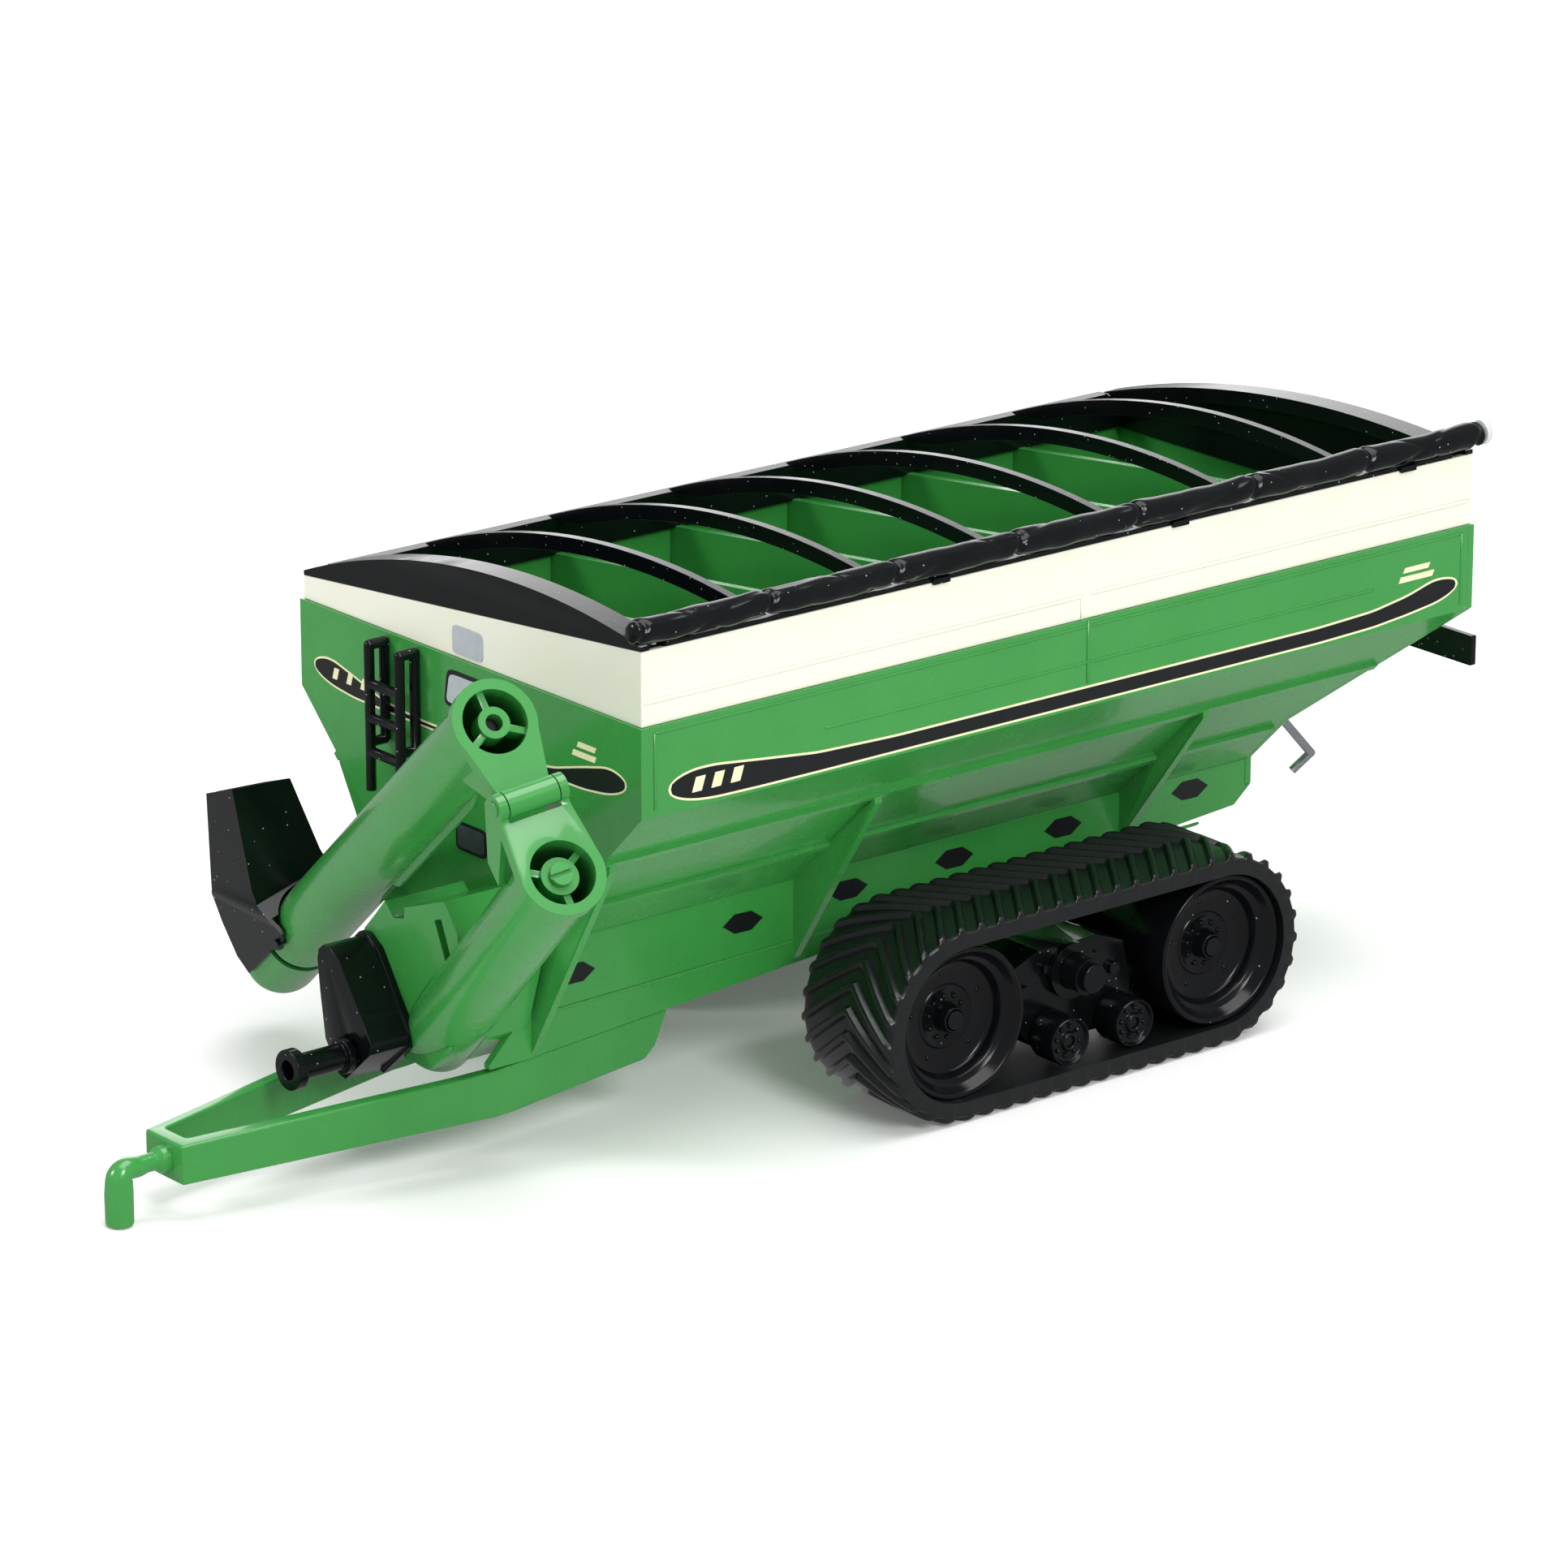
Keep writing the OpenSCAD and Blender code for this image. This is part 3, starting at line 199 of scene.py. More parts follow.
def drawn_wire(name, dull, bright):
    """Drawn, plated steel: draw marks along the wire break the highlight into streaks."""
    made, t, out, where = blank(name)
    long_way = add(t, "ShaderNodeMapping", None, {"Vector": where, "Scale": (0.1, 0.1, 1.0)})
    marks = add(t, "ShaderNodeTexNoise", None,
                {"Vector": long_way.outputs[0], "Scale": per(0.25), "Detail": 2.0})
    tone = add(t, "ShaderNodeMix", {"data_type": "RGBA"},
               {0: marks.outputs["Fac"], 6: srgb(dull), 7: srgb(bright)})
    sheen = add(t, "ShaderNodeMapRange", None,
                {"Value": marks.outputs["Fac"], "To Min": 0.22, "To Max": 0.42})
    face = add(t, "ShaderNodeBsdfPrincipled", None,
               {"Base Color": tone.outputs[2], "Roughness": sheen.outputs[0], "Metallic": 1.0})
    t.links.new(face.outputs[0], out.inputs[0])
    return made


green = sprayed_enamel("green_sprayed_enamel", "#328d3b", "#3f9a48")
cream = sprayed_enamel("cream_sprayed_enamel", "#e9e9d6", "#f1f1e3", 0.3)
gloss = gloss_moulding("gloss_black_abs", "#06080a", "#0e1214", 0.16, 0.5)
specked = gloss_moulding("specked_black_abs", "#06080a", "#0e1214", 0.16, 0.97)
wheel_black = gloss_moulding("wheel_black_abs", "#07080a", "#0e1013", 0.17, 0.1)
satin = gloss_moulding("satin_black_abs", "#0b0c0e", "#121417", 0.32, 0.04)
rubber = moulded_rubber("moulded_black_pvc")
black_ink = pad_ink("black_pad_ink", "#0e1113", "#171b1d", 0.36)
cream_ink = pad_ink("cream_pad_ink", "#e8e3b4", "#f2eec8", 0.4)
pane_ink = pad_ink("grey_window_ink", "#a3a9b2", "#c0c5cc", 0.3)
dark_ink = pad_ink("dark_window_ink", "#33383d", "#4a5056", 0.22)
plug_grey = pad_ink("pale_grey_abs", "#c9ccce", "#dcdedf", 0.28)
wire = drawn_wire("plated_steel_wire", "#a9adb2", "#dadde0")
steel = drawn_wire("zinc_screw_steel", "#8d9196", "#bfc3c7")

# ---- making pieces -----------------------------------------------------------


def grid(points, wrap_u=False, wrap_v=False, flip=False):
    """Points [u, v, xyz] in mm and the quads that join each one to its neighbours."""
    n, m = points.shape[:2]
    i = np.arange(n if wrap_u else n - 1)[:, None]
    j = np.arange(m if wrap_v else m - 1)[None, :]
    a = (i * m + j).ravel()
    b = (((i + 1) % n) * m + j).ravel()
    c = (((i + 1) % n) * m + (j + 1) % m).ravel()
    d = (i * m + (j + 1) % m).ravel()
    quads = np.stack([a, d, c, b] if flip else [a, b, c, d], 1)
    return points.reshape(-1, 3), quads


def piece(name, grids, body, finish, stands_for=None, smooth=True, sharp=40.0):
    """One mesh from several grids, with poles merged; it rides on a body and takes the given finish."""
    points, quads, base = [], [], 0
    for p, q in grids:
        points.append(p)
        quads.append(q + base)
        base += len(p)
    mesh = bpy.data.meshes.new(name)
    mesh.from_pydata((np.concatenate(points) * MM).tolist(), [], np.concatenate(quads).tolist())
    work = bmesh.new()
    work.from_mesh(mesh)
    bmesh.ops.remove_doubles(work, verts=work.verts, dist=1e-7)
    bmesh.ops.dissolve_degenerate(work, dist=1e-8, edges=work.edges)
    work.to_mesh(mesh)
    work.free()
    mesh.materials.append(finish)
    made = bpy.data.objects.new(name, mesh)
    bpy.context.scene.collection.objects.link(made)
    shade(mesh, smooth, sharp)
    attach(made, body)
    if stands_for:
        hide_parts(stands_for)
    return made


CUT_CLIMB = 0.11


def shade(mesh, smooth, sharp):
    """Smooth shading, broken at edges that turn by more than sharp degrees."""
    mesh.polygons.foreach_set("use_smooth", np.full(len(mesh.polygons), smooth))
    if smooth:
        mesh.set_sharp_from_angle(angle=np.radians(sharp))


def rounded(node, finish, width, sharp=32.0, top=None, swell=0.0, reshape=None):
    """A CAD node again with its facets joined, its curves shaded smooth, and a real radius on its edges.
    Before that it can be cut off along a plane at the height top, which climbs by CUT_CLIMB to the
    left, be swollen along its normals, or have its points moved by reshape."""
    work = bmesh.new()
    work.from_mesh(nodes[node].data)
    bmesh.ops.remove_doubles(work, verts=work.verts, dist=2e-6)
    if top is not None:
        everything = work.verts[:] + work.edges[:] + work.faces[:]
        bmesh.ops.bisect_plane(work, geom=everything, plane_co=(0, 0, top * MM),
                               plane_no=(0, -CUT_CLIMB, 1), clear_outer=True)
        bmesh.ops.holes_fill(work, edges=[e for e in work.edges if e.is_boundary], sides=0)
    if swell:
        work.normal_update()
        for vertex, way in [(v, v.normal.copy()) for v in work.verts]:
            vertex.co += way * swell * MM
    if reshape:
        for vertex in work.verts:
            vertex.co = reshape(vertex.co)
    bmesh.ops.dissolve_degenerate(work, dist=1e-7, edges=work.edges)
    bmesh.ops.dissolve_limit(work, angle_limit=np.radians(0.6), verts=work.verts, edges=work.edges)
    mesh = bpy.data.meshes.new(node + "_finished")
    work.to_mesh(mesh)
    work.free()
    mesh.materials.append(finish)
    made = bpy.data.objects.new(node + "_finished", mesh)
    bpy.context.scene.collection.objects.link(made)
    shade(mesh, True, sharp)
    if width:
        bevel = made.modifiers.new("edge_radius", "BEVEL")
        bevel.width = width * MM
        bevel.segments = 2
        bevel.limit_method = "ANGLE"
        bevel.angle_limit = np.radians(sharp)
        bevel.harden_normals = True
        bevel.miter_outer = "MITER_ARC"
    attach(made, nodes[node]["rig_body"])
    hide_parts(node)
    return made


def turned(profile, centre, out, steps=72):
    """A profile [depth, radius] turned about the line along Y through centre; depth runs inwards."""
    a = np.linspace(0, 2 * np.pi, steps, endpoint=False)[:, None]
    p = np.array(profile, float)
    x = centre[0] + p[:, 1] * np.cos(a)
    z = centre[2] + p[:, 1] * np.sin(a)
    y = np.broadcast_to(centre[1] - out * p[:, 0], x.shape)
    return grid(np.stack([x, y, z], -1), wrap_u=True, flip=out > 0)


def bolts(count, ring, head, high, depth, centre, out):
    """Domed bolt heads on a ring: each is a half-round of radius head whose crown stands high above depth."""
    a = np.arange(count) * 2 * np.pi / count + 0.2
    u = np.linspace(0, 2 * np.pi, 8, endpoint=False)[:, None]
    v = np.array([0.0, 0.55, 1.0])[None, :] * np.pi / 2
    grids = []
    for x0, z0 in zip(ring * np.cos(a), ring * np.sin(a)):
        r = head * np.cos(v)
        x = centre[0] + x0 + r * np.cos(u)
        z = centre[2] + z0 + r * np.sin(u)
        y = np.broadcast_to(centre[1] - out * (depth - high * np.sin(v)), x.shape)
        grids.append(grid(np.stack([x, y, z], -1), wrap_u=True, flip=out < 0))
    return grids


def middle(node):
    """Centre of a CAD node's box, in mm, and its size."""
    low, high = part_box(node)
    return (np.array(low) + np.array(high)) / 2 / MM, (np.array(high) - np.array(low)) / MM


# ---- tracks ------------------------------------------------------------------

BELT_R = 8.24
LOOP_R = 10.0
FLOOR_R = 9.95
TREAD_R = 10.5
BELT_END_R = 10.54
LUGS = 51
SHEAR = 0.75


def stadium(s, r, mid_x, z0, base):
    """Place on the belt's loop: s runs round two half circles of radius LOOP_R and two straights, and
    r is the distance out from the wheel centres' line."""
    arc = np.pi * LOOP_R
    s = np.mod(s, 2 * base + 2 * arc)
    top = s < base
    front = (s >= base) & (s < base + arc)
    low = (s >= base + arc) & (s < 2 * base + arc)
    turn = np.where(front, np.pi / 2 - (s - base) / LOOP_R, -np.pi / 2 - (s - 2 * base - arc) / LOOP_R)
    round_x = r * np.cos(turn)
    round_z = r * np.sin(turn)
    x = np.select([top, front, low], [s - base / 2, base / 2 + round_x, base / 2 - (s - base - arc)],
                  -base / 2 + round_x)
    z = np.select([top, front, low], [r, round_z, -r], round_z)
    return mid_x + x, z0 + z


def belt(side):
    """Rubber belt whose section runs inner face, outer wall, tread, inner wall. The tread stands up in
    chevron lugs: its height follows one lug profile along the loop, sheared by SHEAR x the distance
    from the belt's middle, and it drops off over the last 0.45 mm at each wall."""
    name = "left" if side > 0 else "right"
    c, size = middle(name + "_belt")
    base = size[0] - 2 * BELT_END_R
    pitch = (2 * base + 2 * np.pi * LOOP_R) / LUGS
    step = np.array([0.0, 0.50, 0.57, 0.63, 0.69, 0.81, 0.87, 0.93])
    rise = np.array([0.0, 0.0, 0.5, 0.9, 1.0, 1.0, 0.9, 0.5])
    s = ((np.arange(LUGS)[:, None] + step[None, :]) * pitch).ravel()[:, None]
    lug = np.tile(rise, LUGS)[:, None]
    half = size[1] / 2
    right = np.array([0.03, 0.1, 0.3, 0.55, 0.8, 0.9, 0.95, 0.985, 1.0])
    v = np.concatenate([-right[::-1], right])[None, :] * half
    end = np.clip((half - np.abs(v)) / 0.45, 0, 1) ** 0.5
    tread = FLOOR_R - 0.2 * (1 - end) + (TREAD_R - FLOOR_R) * lug * (0.45 + 0.55 * end)
    w = np.array([1.0, 0.9, 0.5, 0.0, -0.5, -0.9, -1.0])[None, :] * half
    inner = np.full((len(s), w.size), BELT_R)
    r = np.concatenate([tread, inner], 1)
    across = np.concatenate([v, w], 1)
    x, z = stadium(s + SHEAR * np.abs(across), r, c[0], c[2], base)
    y = c[1] + side * np.broadcast_to(across, x.shape)
    surface = grid(np.stack([x, y, z], -1), wrap_u=True, wrap_v=True, flip=side > 0)
    return piece(name + "_tread_belt", [surface], name + "_track", rubber,
                 name + "_belt", sharp=28)


def wheel(side, end):
    """Deep-dish wheel: rolled lip, stepped rim, sunk disc with ten bolts, and a hub in its middle."""
    name = ("left_" if side > 0 else "right_") + end + "_wheel"
    c, size = middle(name)
    width = size[1]
    face = np.array([c[0], c[1] + side * width / 2, c[2]])
    back = [(width - 0.2, 8.1), (width, 7.9), (width, 7.3), (width - 0.3, 7.15), (6.0, 7.1), (4.9, 6.4)]
    hub = [(4.8, 1.2), (4.8, 1.06), (1.5, 1.06), (1.35, 1.15), (1.35, 1.3), (1.5, 1.42), (2.75, 1.5)]
    disc = [(2.9, 1.6), (2.9, 3.0), (2.78, 3.12), (2.78, 3.3), (2.95, 3.45), (2.9, 4.6), (2.7, 5.75)]
    dish = [(2.5, 5.95), (2.2, 6.1), (1.5, 6.25), (1.35, 6.4), (1.25, 6.75), (1.0, 6.95), (0.35, 7.35)]
    lip = [(0.1, 7.5), (0.0, 7.6), (0.0, 7.72), (0.0, 7.9), (0.08, 8.03), (0.25, 8.1)]
    grids = [turned(lip[2:] + back + hub + disc + dish + lip[:3], face, side, 96)]
    grids += bolts(10, 2.25, 0.3, 0.3, 2.9, face, side)
    grids += bolts(5, 4.6, 0.24, 0.16, 2.88, face, side)
    return piece(name + "_dished", grids, name + "_body", wheel_black, name, sharp=50)


def roller(side, end):
    """Small idler: rolled rim, sunk ring with eight bolts, round boss."""
    name = ("left_" if side > 0 else "right_") + end + "_roller"
    c, size = middle(name)
    face = np.array([c[0], c[1] + side * size[1] / 2, c[2]])
    profile = [
        (0.12, 2.55), (0.3, 2.6), (3.3, 2.6), (3.6, 2.5), (3.6, 0.56), (0.14, 0.56), (0.0, 0.66),
        (0.0, 0.82), (0.1, 0.93), (0.52, 0.98), (0.6, 1.1), (0.6, 2.05), (0.5, 2.2), (0.1, 2.28),
        (0.0, 2.36), (0.0, 2.46), (0.12, 2.55)]
    grids = [turned(profile, face, side, 48)]
    grids += bolts(8, 1.55, 0.27, 0.38, 0.6, face, side)
    return piece(name + "_turned", grids, name + "_body", gloss, name, sharp=50)


for side in (1, -1):
    belt(side)
    for end in ("front", "rear"):
        wheel(side, end)
        roller(side, end)

# ---- roof --------------------------------------------------------------------


BOW_PITCH = 15.93


def bump(phase, width):
    """A ridge of the given width, in radians, wherever phase passes half a turn: exp(-(d / width) ** 2)."""
    return np.exp(-((np.mod(phase, 2 * np.pi) - np.pi) / width) ** 2)


def tarp():
    """Rolled tarp moulded as one lumpy bar. Its middle sags between the bows, its radius carries slow
    swells and two sets of slanting creases, and it is pinched where each bow's strap goes round."""
    c, size = middle("tarp_roll")
    length, r0 = size[0], size[2] / 2
    end_round = 0.9
    x = (np.linspace(0, 1, 900)[:, None] - 0.5) * length
    a = np.linspace(0, 2 * np.pi, 48, endpoint=False)[None, :]
    bay = np.mod(x, BOW_PITCH) - BOW_PITCH / 2
    swell = 0.07 * np.sin(x / 2.3) + 0.05 * np.sin(x / 1.15 + 1.3 + a) + 0.03 * np.sin(x / 0.61 + 2 * a)
    crease = 0.12 * bump(a + 0.21 * x + 0.8 * np.sin(x / 4.0), 0.28)
    crease = crease + 0.08 * bump(a - 0.33 * x + 0.6 * np.sin(x / 3.1), 0.2)
    pinch = 0.3 * np.exp(-((bay + 0.35 * np.sin(a * 2)) / 0.42) ** 2)
    past = np.clip((np.abs(x) - length / 2 + end_round) / end_round, 0, 1)
    ends = np.sqrt(np.clip(1 - past ** 2, 0, 1))
    r = np.minimum(r0 - 0.14 + 0.7 * swell - crease - pinch, r0) * (0.02 + 0.98 * ends)
    sag = 0.132 * (1 - np.exp(-(bay / 2.6) ** 2))
    z = np.maximum(c[2] - sag + r * np.sin(a), c[2] - r0)
    p = np.stack([c[0] + x + 0 * a, c[1] + r * np.cos(a), z], -1)
    p[0], p[-1] = p[0].mean(0), p[-1].mean(0)
    return piece("tarp_roll_moulded", [grid(p, wrap_v=True, flip=True)], "chassis", gloss,
                 "tarp_roll", sharp=180)


def end_plug():
    """Pale plug in the roll's rear end: a disc with a domed face. Its profile is drawn for a depth of 0.8."""
    c, size = middle("tarp_end_plug")
    a = np.linspace(0, 2 * np.pi, 40, endpoint=False)[:, None]
    p = np.array([(0.5, 0.0), (0.5, 1.28), (0.3, 1.34), (-0.05, 1.34), (-0.2, 1.25), (-0.36, 0.9),
                  (-0.4, 0.4), (-0.4, 0.0)])
    x = c[0] + 0 * a + p[:, 0] * size[0] / 0.8
    y = c[1] + p[:, 1] * np.cos(a)
    z = c[2] + p[:, 1] * np.sin(a)
    return piece("tarp_end_plug_domed", [grid(np.stack([x, y, z], -1), wrap_u=True, flip=True)],
                 "chassis", plug_grey, "tarp_end_plug")


tarp()
end_plug()

# ---- printed graphics and pressed folds ---------------------------------------


EASE = 2.4
LOOP_END = 4.2
BAR_THICK = 0.08


def ribbon(x, low, high, at, normal, thick):
    """Thin printed patch between two edges low(x) and high(x), standing thick off a flat sheet.
    at(x, z) gives a place on the sheet; rows close to a point at both ends."""
    back = np.stack([at(x, low), at(x, high)], 1)
    front = back + np.array(normal) * thick
    return np.stack([back[:, 0], front[:, 0], front[:, 1], back[:, 1]], 1)


def eased(x, keys):
    """A smooth curve through a few (x, value) keys: straight lines, then a moving average EASE mm long."""
    k = np.array(sorted(keys))
    step = (x[-1] - x[0]) / (len(x) - 1)
    width = max(3, int(abs(EASE / step)) | 1)
    before = x[:1] - step * np.arange(width // 2, 0, -1)
    after = x[-1:] + step * np.arange(1, width // 2 + 1)
    fine = np.interp(np.concatenate([before, x, after]), k[:, 0], k[:, 1])
    return np.convolve(fine, np.ones(width) / width, "valid")


def quarter(past):
    """Half height of a loop's end, as a quarter ellipse, where past goes from 0 to 1 at the tip."""
    return np.sqrt(np.clip(1 - np.clip(past, 0, 1) ** 2, 0, 1))


def swoosh(name, left, right, keys, at, normal, outline, flip):
    """A long printed stripe with a rounded loop at each end: black over a cream outline.
    keys are (place, middle height, half width); each end closes as a half ellipse."""
    x = np.linspace(left, right, 700)
    mid = eased(x, [(k[0], k[1]) for k in keys])
    half = eased(x, [(k[0], k[2]) for k in keys])
    cap = quarter((left + LOOP_END - x) / LOOP_END) * quarter((x - right + LOOP_END) / LOOP_END)
    layers = (("outline", 0.0, 0.03, cream_ink, "pale_paint"),
              ("fill", outline, 0.05, black_ink, "black_plastic"))
    for label, inset, lift, ink, slot in layers:
        keep = (x >= left + 1.3 * inset) & (x <= right - 1.3 * inset)
        h = np.clip(half * cap - inset, 0, None)
        h[~keep] = 0
        first, last = np.argmax(h > 0), len(h) - np.argmax(h[::-1] > 0)
        sel = slice(max(first - 1, 0), min(last + 1, len(h)))
        rows = ribbon(x[sel], mid[sel] - h[sel], mid[sel] + h[sel], at, normal, lift)
        piece(f"{name}_{label}", [grid(rows, wrap_v=True, flip=flip)], "chassis", ink, smooth=False)


FRONT_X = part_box("left_side_sheet")[1][0] / MM
SIDE_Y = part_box("left_side_sheet")[1][1] / MM
SIDE_KEYS = [(-46.3, 42.3, 1.6), (-49.0, 42.25, 1.65), (-52.0, 42.1, 1.8), (-58.0, 41.7, 1.5),
             (-65.0, 41.3, 1.12), (-75.0, 41.15, 0.95), (-132.0, 41.15, 0.95), (-140.0, 41.4, 1.0),
             (-145.0, 42.0, 1.15), (-148.5, 42.7, 1.4), (-152.2, 43.1, 1.4)]
HALF_FRONT_KEYS = [(8.0, 40.95, 0.36), (14.0, 41.2, 0.6), (19.0, 41.9, 1.25), (23.0, 42.6, 1.5),
                   (25.8, 42.8, 1.5)]
FRONT_KEYS = [(-place, height, half) for place, height, half in HALF_FRONT_KEYS] + HALF_FRONT_KEYS


def on_side(side):
    """A function that puts (x, z) on the flat outer face of one side sheet."""
    return lambda x, z: np.stack([x, np.full_like(x, side * SIDE_Y), z], -1)


def on_front(y, z):
    """Puts (y, z) on the front sheet's outer face."""
    return np.stack([np.full_like(y, FRONT_X), y, z], -1)


for side, label in ((1, "left"), (-1, "right")):
    swoosh(label + "_stripe", -152.2, -46.3, SIDE_KEYS, on_side(side), (0, side, 0), 0.24, side > 0)
swoosh("front_stripe", -25.8, 25.8, FRONT_KEYS, on_front, (1, 0, 0), 0.22, False)


def slab(corners, normal, thick):
    """A flat plate: corner points in order round its back, lifted along normal; each face is a fan."""
    back = np.array(corners, float)
    front = back + np.array(normal, float) * thick
    count = len(back)
    return np.stack([np.repeat(back.mean(0)[None], count, 0), back, front,
                     np.repeat(front.mean(0)[None], count, 0)], 1)


def slanted(x0, z0, w, h, lean, place, normal, flip):
    """A leaning four-sided printed bar with its lower corner at x0, z0."""
    across = np.array([x0, x0 + w, x0 + w + lean, x0 + lean])
    up = np.array([z0, z0, z0 + h, z0 + h])
    return grid(slab(place(across, up), normal, BAR_THICK), wrap_u=True, flip=flip)


for side, label in ((1, "left"), (-1, "right")):
    at, out_way, flip = on_side(side), (0, side, 0), side < 0
    bars = [slanted(x, 41.45, -1.2, 1.5, -0.5, at, out_way, flip) for x in (-49.2, -51.6, -54.0)]
    bars += [slanted(-143.6, 44.6, -4.8, 0.62, -0.3, at, out_way, flip),
             slanted(-144.2, 45.6, -3.6, 0.55, -0.3, at, out_way, flip)]
    piece(label + "_side_bars", bars, "chassis", cream_ink, smooth=False)
bars = [slanted(y, 41.95, 0.8, 1.2, 0.4, on_front, (1, 0, 0), False) for y in (-22.6, -20.2, -17.8)]
bars += [slanted(17.2, 43.9, 3.6, 0.6, 0.25, on_front, (1, 0, 0), False),
         slanted(18.0, 44.9, 2.8, 0.55, 0.25, on_front, (1, 0, 0), False)]
piece("front_bars", bars, "chassis", cream_ink, smooth=False)


def rounded_patch(y0, y1, z0, z1, lean):
    """Outline of a rounded rectangle: |p| ** 7 + |q| ** 7 = 1 stretched to its size, sheared by lean."""
    corner = 7.0
    a = np.linspace(0, 2 * np.pi, 48, endpoint=False)
    p = np.sign(np.cos(a)) * np.abs(np.cos(a)) ** (2 / corner)
    q = np.sign(np.sin(a)) * np.abs(np.sin(a)) ** (2 / corner)
    return (y0 + y1) / 2 + p * (y1 - y0) / 2 + lean * q, (z0 + z1) / 2 + q * (z1 - z0) / 2


def window(y0, y1, z0, z1, face_x, lean, inset, depth):
    """One layer of a window: a rounded plate on the face at face_x, drawn in by inset all round."""
    ys, zs = rounded_patch(y0 + inset, y1 - inset, z0 + inset, z1 - inset, lean)
    back = np.stack([np.full_like(ys, face_x), ys, zs], 1)
    return grid(slab(back, (1, 0, 0), depth), wrap_u=True)


BAND_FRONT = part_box("upper_band")[1][0] / MM
TOP_WINDOW = (-2.45, 2.5, 49.5, 52.5, BAND_FRONT, 0.0)
MIDDLE_WINDOW = (-3.3, 2.5, 43.9, 47.8, FRONT_X, 0.3)
LOW_WINDOW = (-1.9, 3.1, 29.2, 32.2, FRONT_X, 0.0)
piece("window_frames", [window(*MIDDLE_WINDOW, 0.0, 0.1), window(*LOW_WINDOW, 0.0, 0.1)],
      "chassis", black_ink, smooth=False)
piece("window_panes", [window(*TOP_WINDOW, 0.0, 0.1), window(*MIDDLE_WINDOW, 0.42, 0.16)],
      "chassis", pane_ink, "sight_windows", smooth=False)
piece("window_low_pane", [window(*LOW_WINDOW, 0.32, 0.16)], "chassis", dark_ink, smooth=False)

SILL_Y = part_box("trough")[1][1] / MM
LOZENGE = [(2.6, 0.05), (1.1, 1.05), (-1.1, 1.0), (-2.6, -0.05), (-1.1, -1.05), (1.1, -1.0)]
LOZENGE_PLACES = [(-48.9, 17.7), (-70.5, 18.3), (-84.4, 18.8), (-98.7, 19.1), (-113.7, 19.3), (-131.6, 19.7)]
for side, label in ((1, "left"), (-1, "right")):
    patches = []
    for x0, z0 in LOZENGE_PLACES:
        corners = [(x0 + a, side * SILL_Y, z0 + b) for a, b in LOZENGE]
        patches.append(grid(slab(corners, (0, side, 0), 0.06), wrap_u=True, flip=side < 0))
    piece(label + "_sill_marks", patches, "chassis", black_ink, smooth=False)


def fold(start, end, normal, w, h):
    """A pressed fold: a low rounded ridge of width w and height h along a straight line on a sheet."""
    start, end, normal = (np.array(k, float) for k in (start, end, normal))
    along = end - start
    across = np.cross(normal, along / np.linalg.norm(along))
    t = np.array([-1.0, -0.6, -0.25, 0.25, 0.6, 1.0])
    ridge = np.array([-0.02, 0.62, 1.0, 1.0, 0.62, -0.02])
    section = across[None, :] * t[:, None] * w / 2 + normal[None, :] * ridge[:, None] * h
    u = np.array([0.0, 0.0, 0.004, 0.996, 1.0, 1.0])[:, None, None]
    shrink = np.array([0.0, 0.6, 1.0, 1.0, 0.6, 0.0])[:, None, None]
    return start + u * along + section[None] * shrink


BAND_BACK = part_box("upper_band")[0][0] / MM
BAND_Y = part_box("upper_band")[1][1] / MM
SEAM_X = -100.4
REAR_X, CORNER_X = -152.7, -44.7
FOLD_LOW, FOLD_TOP = 40.6, 48.4
green_folds, cream_folds = [], []


def add_fold(folds, side_y, side, x0, z0, x1, z1, w, h):
    """Adds a fold from (x0, z0) to (x1, z1) on the outer face at side_y on one side."""
    folds.append(fold((x0, side * side_y, z0), (x1, side * side_y, z1), (0, side, 0), w, h))


for side in (1, -1):
    if side > 0:
        add_fold(cream_folds, BAND_Y, side, BAND_BACK + 0.3, 51.7, SEAM_X - 0.6, 51.7, 0.5, 0.1)
        add_fold(cream_folds, BAND_Y, side, SEAM_X + 0.6, 51.55, BAND_FRONT - 0.3, 51.55, 0.5, 0.1)
    add_fold(cream_folds, BAND_Y, side, SEAM_X + 0.7, 49.1, SEAM_X + 0.7, 51.5, 0.35, 0.12)
    add_fold(green_folds, SIDE_Y, side, SEAM_X, 42.4, SEAM_X, 49.0, 0.45, 0.14)
    add_fold(green_folds, SIDE_Y, side, REAR_X, FOLD_LOW, REAR_X, FOLD_TOP, 0.4, 0.1)
    add_fold(green_folds, SIDE_Y, side, CORNER_X, FOLD_LOW, CORNER_X, FOLD_TOP, 0.4, 0.1)
    add_fold(green_folds, SIDE_Y, side, REAR_X, FOLD_TOP, CORNER_X, FOLD_TOP, 0.35, 0.08)
    add_fold(green_folds, SIDE_Y, side, -140.0, 44.6, -66.0, 44.6, 0.35, 0.07)
    add_fold(green_folds, SILL_Y, side, -133.0, 15.6, -45.0, 14.3, 0.4, 0.12)
piece("pressed_folds", [grid(g, wrap_v=True) for g in green_folds], "chassis", green,
      sharp=180)
piece("band_folds", [grid(g, wrap_v=True) for g in cream_folds], "chassis", cream,
      sharp=180)

# ---- hitch peg -----------------------------------------------------------------


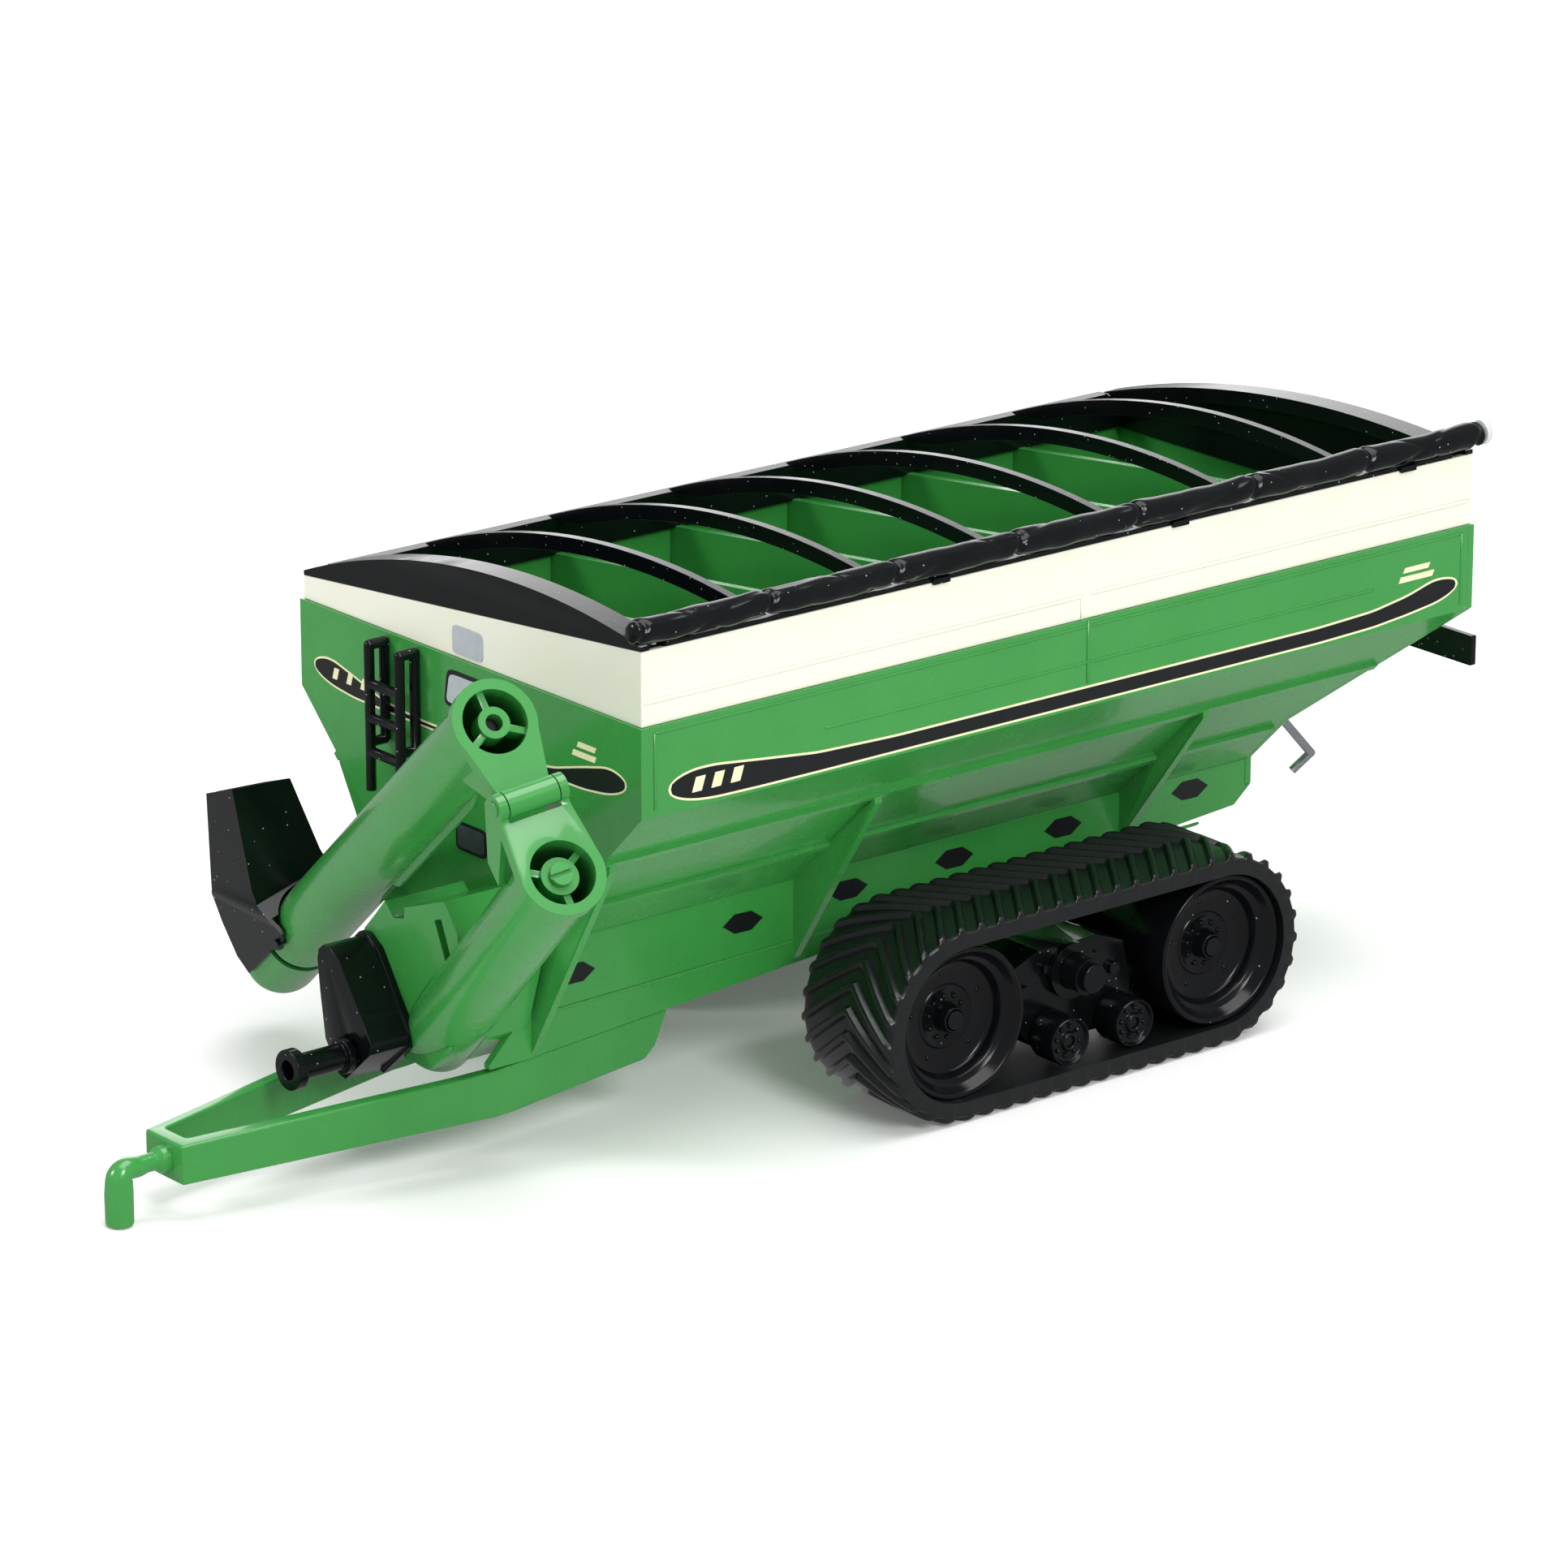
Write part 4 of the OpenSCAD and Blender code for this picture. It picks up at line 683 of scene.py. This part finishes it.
def swept(path, radius, steps=28, sides=28):
    """A round bar along points in mm. Hermite cubics join them, with h00 = 2 f^3 - 3 f^2 + 1 and so on;
    the section stays square to the path in the XZ plane, radius gives its size, and both ends close."""
    path = np.array(path, float)
    fine = np.linspace(0, len(path) - 1, steps * (len(path) - 1) + 1)
    slope = np.gradient(path, axis=0)
    i = np.minimum(fine.astype(int), len(path) - 2)
    f = (fine - i)[:, None]
    line = ((2 * f ** 3 - 3 * f ** 2 + 1) * path[i] + (f ** 3 - 2 * f ** 2 + f) * slope[i]
            + (3 * f ** 2 - 2 * f ** 3) * path[i + 1] + (f ** 3 - f ** 2) * slope[i + 1])
    r = np.interp(fine, np.arange(len(path)), radius)[:, None, None]
    way = np.gradient(line, axis=0)
    way /= np.linalg.norm(way, axis=1, keepdims=True)
    level = np.array((0.0, 1.0, 0.0))
    square = np.cross(level, way)[:, None]
    a = np.linspace(0, 2 * np.pi, sides, endpoint=False)[None, :, None]
    ring = line[:, None] + r * (np.cos(a) * level + np.sin(a) * square)
    closed = np.concatenate([line[:1, None] + 0 * ring[:1], ring, line[-1:, None] + 0 * ring[-1:]])
    return grid(closed, wrap_v=True, flip=True)


ARM_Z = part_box("hitch_peg")[1][2] / MM - 1.3
PEG = [(0, 0, 0.95), (0, 0.12, 1.25), (0, 0.4, 1.42), (0, 2.0, 1.45), (0, 3.4, 1.45),
       (-0.15, ARM_Z - 0.7, 1.35), (-0.9, ARM_Z - 0.05, 1.15), (-2.2, ARM_Z - 0.1, 1.05),
       (-3.2, ARM_Z, 0.95), (-4.1, ARM_Z, 0.95), (-4.7, ARM_Z, 1.35), (-5.5, ARM_Z, 1.45)]
piece("hitch_peg_cast", [swept([(x, 0, z) for x, z, _ in PEG], [r for _, _, r in PEG])],
      "chassis", green, "hitch_peg", sharp=60)

# ---- CAD castings with real edges ----------------------------------------------

GREEN_EDGES = {
    "front_sheet": 0.14, "rear_sheet": 0.14, "left_side_sheet": 0.14, "right_side_sheet": 0.14,
    "trough": 0.12, "side_gussets": 0.2, "axle_saddle": 0.12, "auger_boot": 0.28,
    "lower_tube": 0.06, "lower_flange": 0.16, "lower_hub": 0.1, "hinge_pin": 0.12,
    "upper_tube": 0.06, "upper_flange": 0.16, "upper_hub": 0.1, "elbow_cap": 0.05, "lower_shaft": 0.05}
BLACK_EDGES = {
    "front_cap": 0.2, "rear_cap": 0.2, "right_rail": 0.1, "left_rail": 0.1, "light_bar": 0.18,
    "pto_shaft": 0.12, "clamp_band": 0.06, "spout_pins": 0.06, "spout_hood": 0.22,
    "left_hub_cap": 0.2, "right_hub_cap": 0.2}
BAFFLE_TOP = 51.3
TONGUE_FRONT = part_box("tongue")[1][0] / MM
CAD_FRONT_WALL = 5.6
CAST_FRONT_WALL = 1.5
CLIP_LOW = 56.6
CLIP_OUT = 0.4


def thin_front(co):
    """Moves the hollow's front edge forward, so that the wall there is as thin as the tongue's sides."""
    inner = abs(co.x / MM - (TONGUE_FRONT - CAD_FRONT_WALL)) < 0.2
    return Vector(((TONGUE_FRONT - CAST_FRONT_WALL) * MM, co.y, co.z)) if inner else co


def short_clip(co):
    """Lifts a catch's lower edge to the band's top edge, and lets it stand out by CLIP_OUT only."""
    return Vector((co.x, min(co.y, (BAND_Y + CLIP_OUT) * MM), max(co.z, CLIP_LOW * MM)))


for node, width in GREEN_EDGES.items():
    rounded(node, green, width)
rounded("baffle_panels", green, 0.1, top=BAFFLE_TOP)
rounded("upper_band", cream, 0.12)
rounded("tongue", green, 0.28, reshape=thin_front)
for node, width in BLACK_EDGES.items():
    rounded(node, gloss, width)
rounded("roof_bows", specked, 0.45)
rounded("tarp_clips", gloss, 0.08, reshape=short_clip)
rounded("ladder", gloss, 0.0, swell=0.1)
rounded("gear_cover", gloss, 0.7, sharp=40.0)
for node in ("left_frame", "right_frame"):
    rounded(node, gloss, 0.22)
rounded("rear_handle", wire, 0.0)
for node, finish in (("cross_axle", satin), ("assembly_screws", steel), ("upper_shaft", satin)):
    nodes[node].data.materials.clear()
    nodes[node].data.materials.append(finish)

# ---- floor and light -----------------------------------------------------------

FLOOR_Z = -0.00002
floor_mesh = bpy.data.meshes.new("floor")
floor_mesh.from_pydata([(-4, -4, FLOOR_Z), (3, -4, FLOOR_Z), (3, 3, FLOOR_Z), (-4, 3, FLOOR_Z)], [],
                       [(0, 1, 2, 3)])
floor = bpy.data.objects.new("floor", floor_mesh)
bpy.context.scene.collection.objects.link(floor)
floor.visible_glossy = False
# Matt white paper: a very faint unevenness of tone, and a little light of its own so that it stays white.
paper, t, out, where = blank("matt_white_paper")
haze = add(t, "ShaderNodeTexNoise", None, {"Vector": where, "Scale": 6.0, "Detail": 2.0})
tone = add(t, "ShaderNodeMix", {"data_type": "RGBA"},
           {0: haze.outputs["Fac"], 6: srgb("#f4f4f3"), 7: srgb("#fafaf9")})
sheet_face = add(t, "ShaderNodeBsdfPrincipled", None, {
    "Base Color": tone.outputs[2], "Roughness": 0.75, "Specular IOR Level": 0.2,
    "Emission Color": srgb("#ffffff"), "Emission Strength": 0.1})
t.links.new(sheet_face.outputs[0], out.inputs[0])
floor_mesh.materials.append(paper)


MIDDLE = (-0.08, 0.0, 0.03)


def softbox(name, place, size, watts):
    """A square white area lamp of the given size in metres, facing the middle of the cart."""
    lamp = bpy.data.objects.new(name, bpy.data.lights.new(name, "AREA"))
    lamp.data.size = size
    lamp.data.energy = watts
    lamp.location = place
    lamp.rotation_euler = (Vector(MIDDLE) - Vector(place)).to_track_quat("-Z", "Y").to_euler()
    bpy.context.scene.collection.objects.link(lamp)
    return lamp


softbox("overhead", (-0.15, 0.15, 1.0), 0.8, 8.0)
softbox("key", (0.1, 0.95, 0.7), 0.4, 6.0)
softbox("front_left", (0.85, -0.5, 0.62), 0.25, 4.4)
softbox("far_low", (-0.85, -0.95, 0.42), 0.8, 3.6)
world = bpy.data.worlds.new("studio")
world.use_nodes = True
world.node_tree.nodes["Background"].inputs[0].default_value = srgb("#ffffff")
world.node_tree.nodes["Background"].inputs[1].default_value = 0.36
bpy.context.scene.world = world
bpy.context.scene.view_settings.view_transform = "Standard"
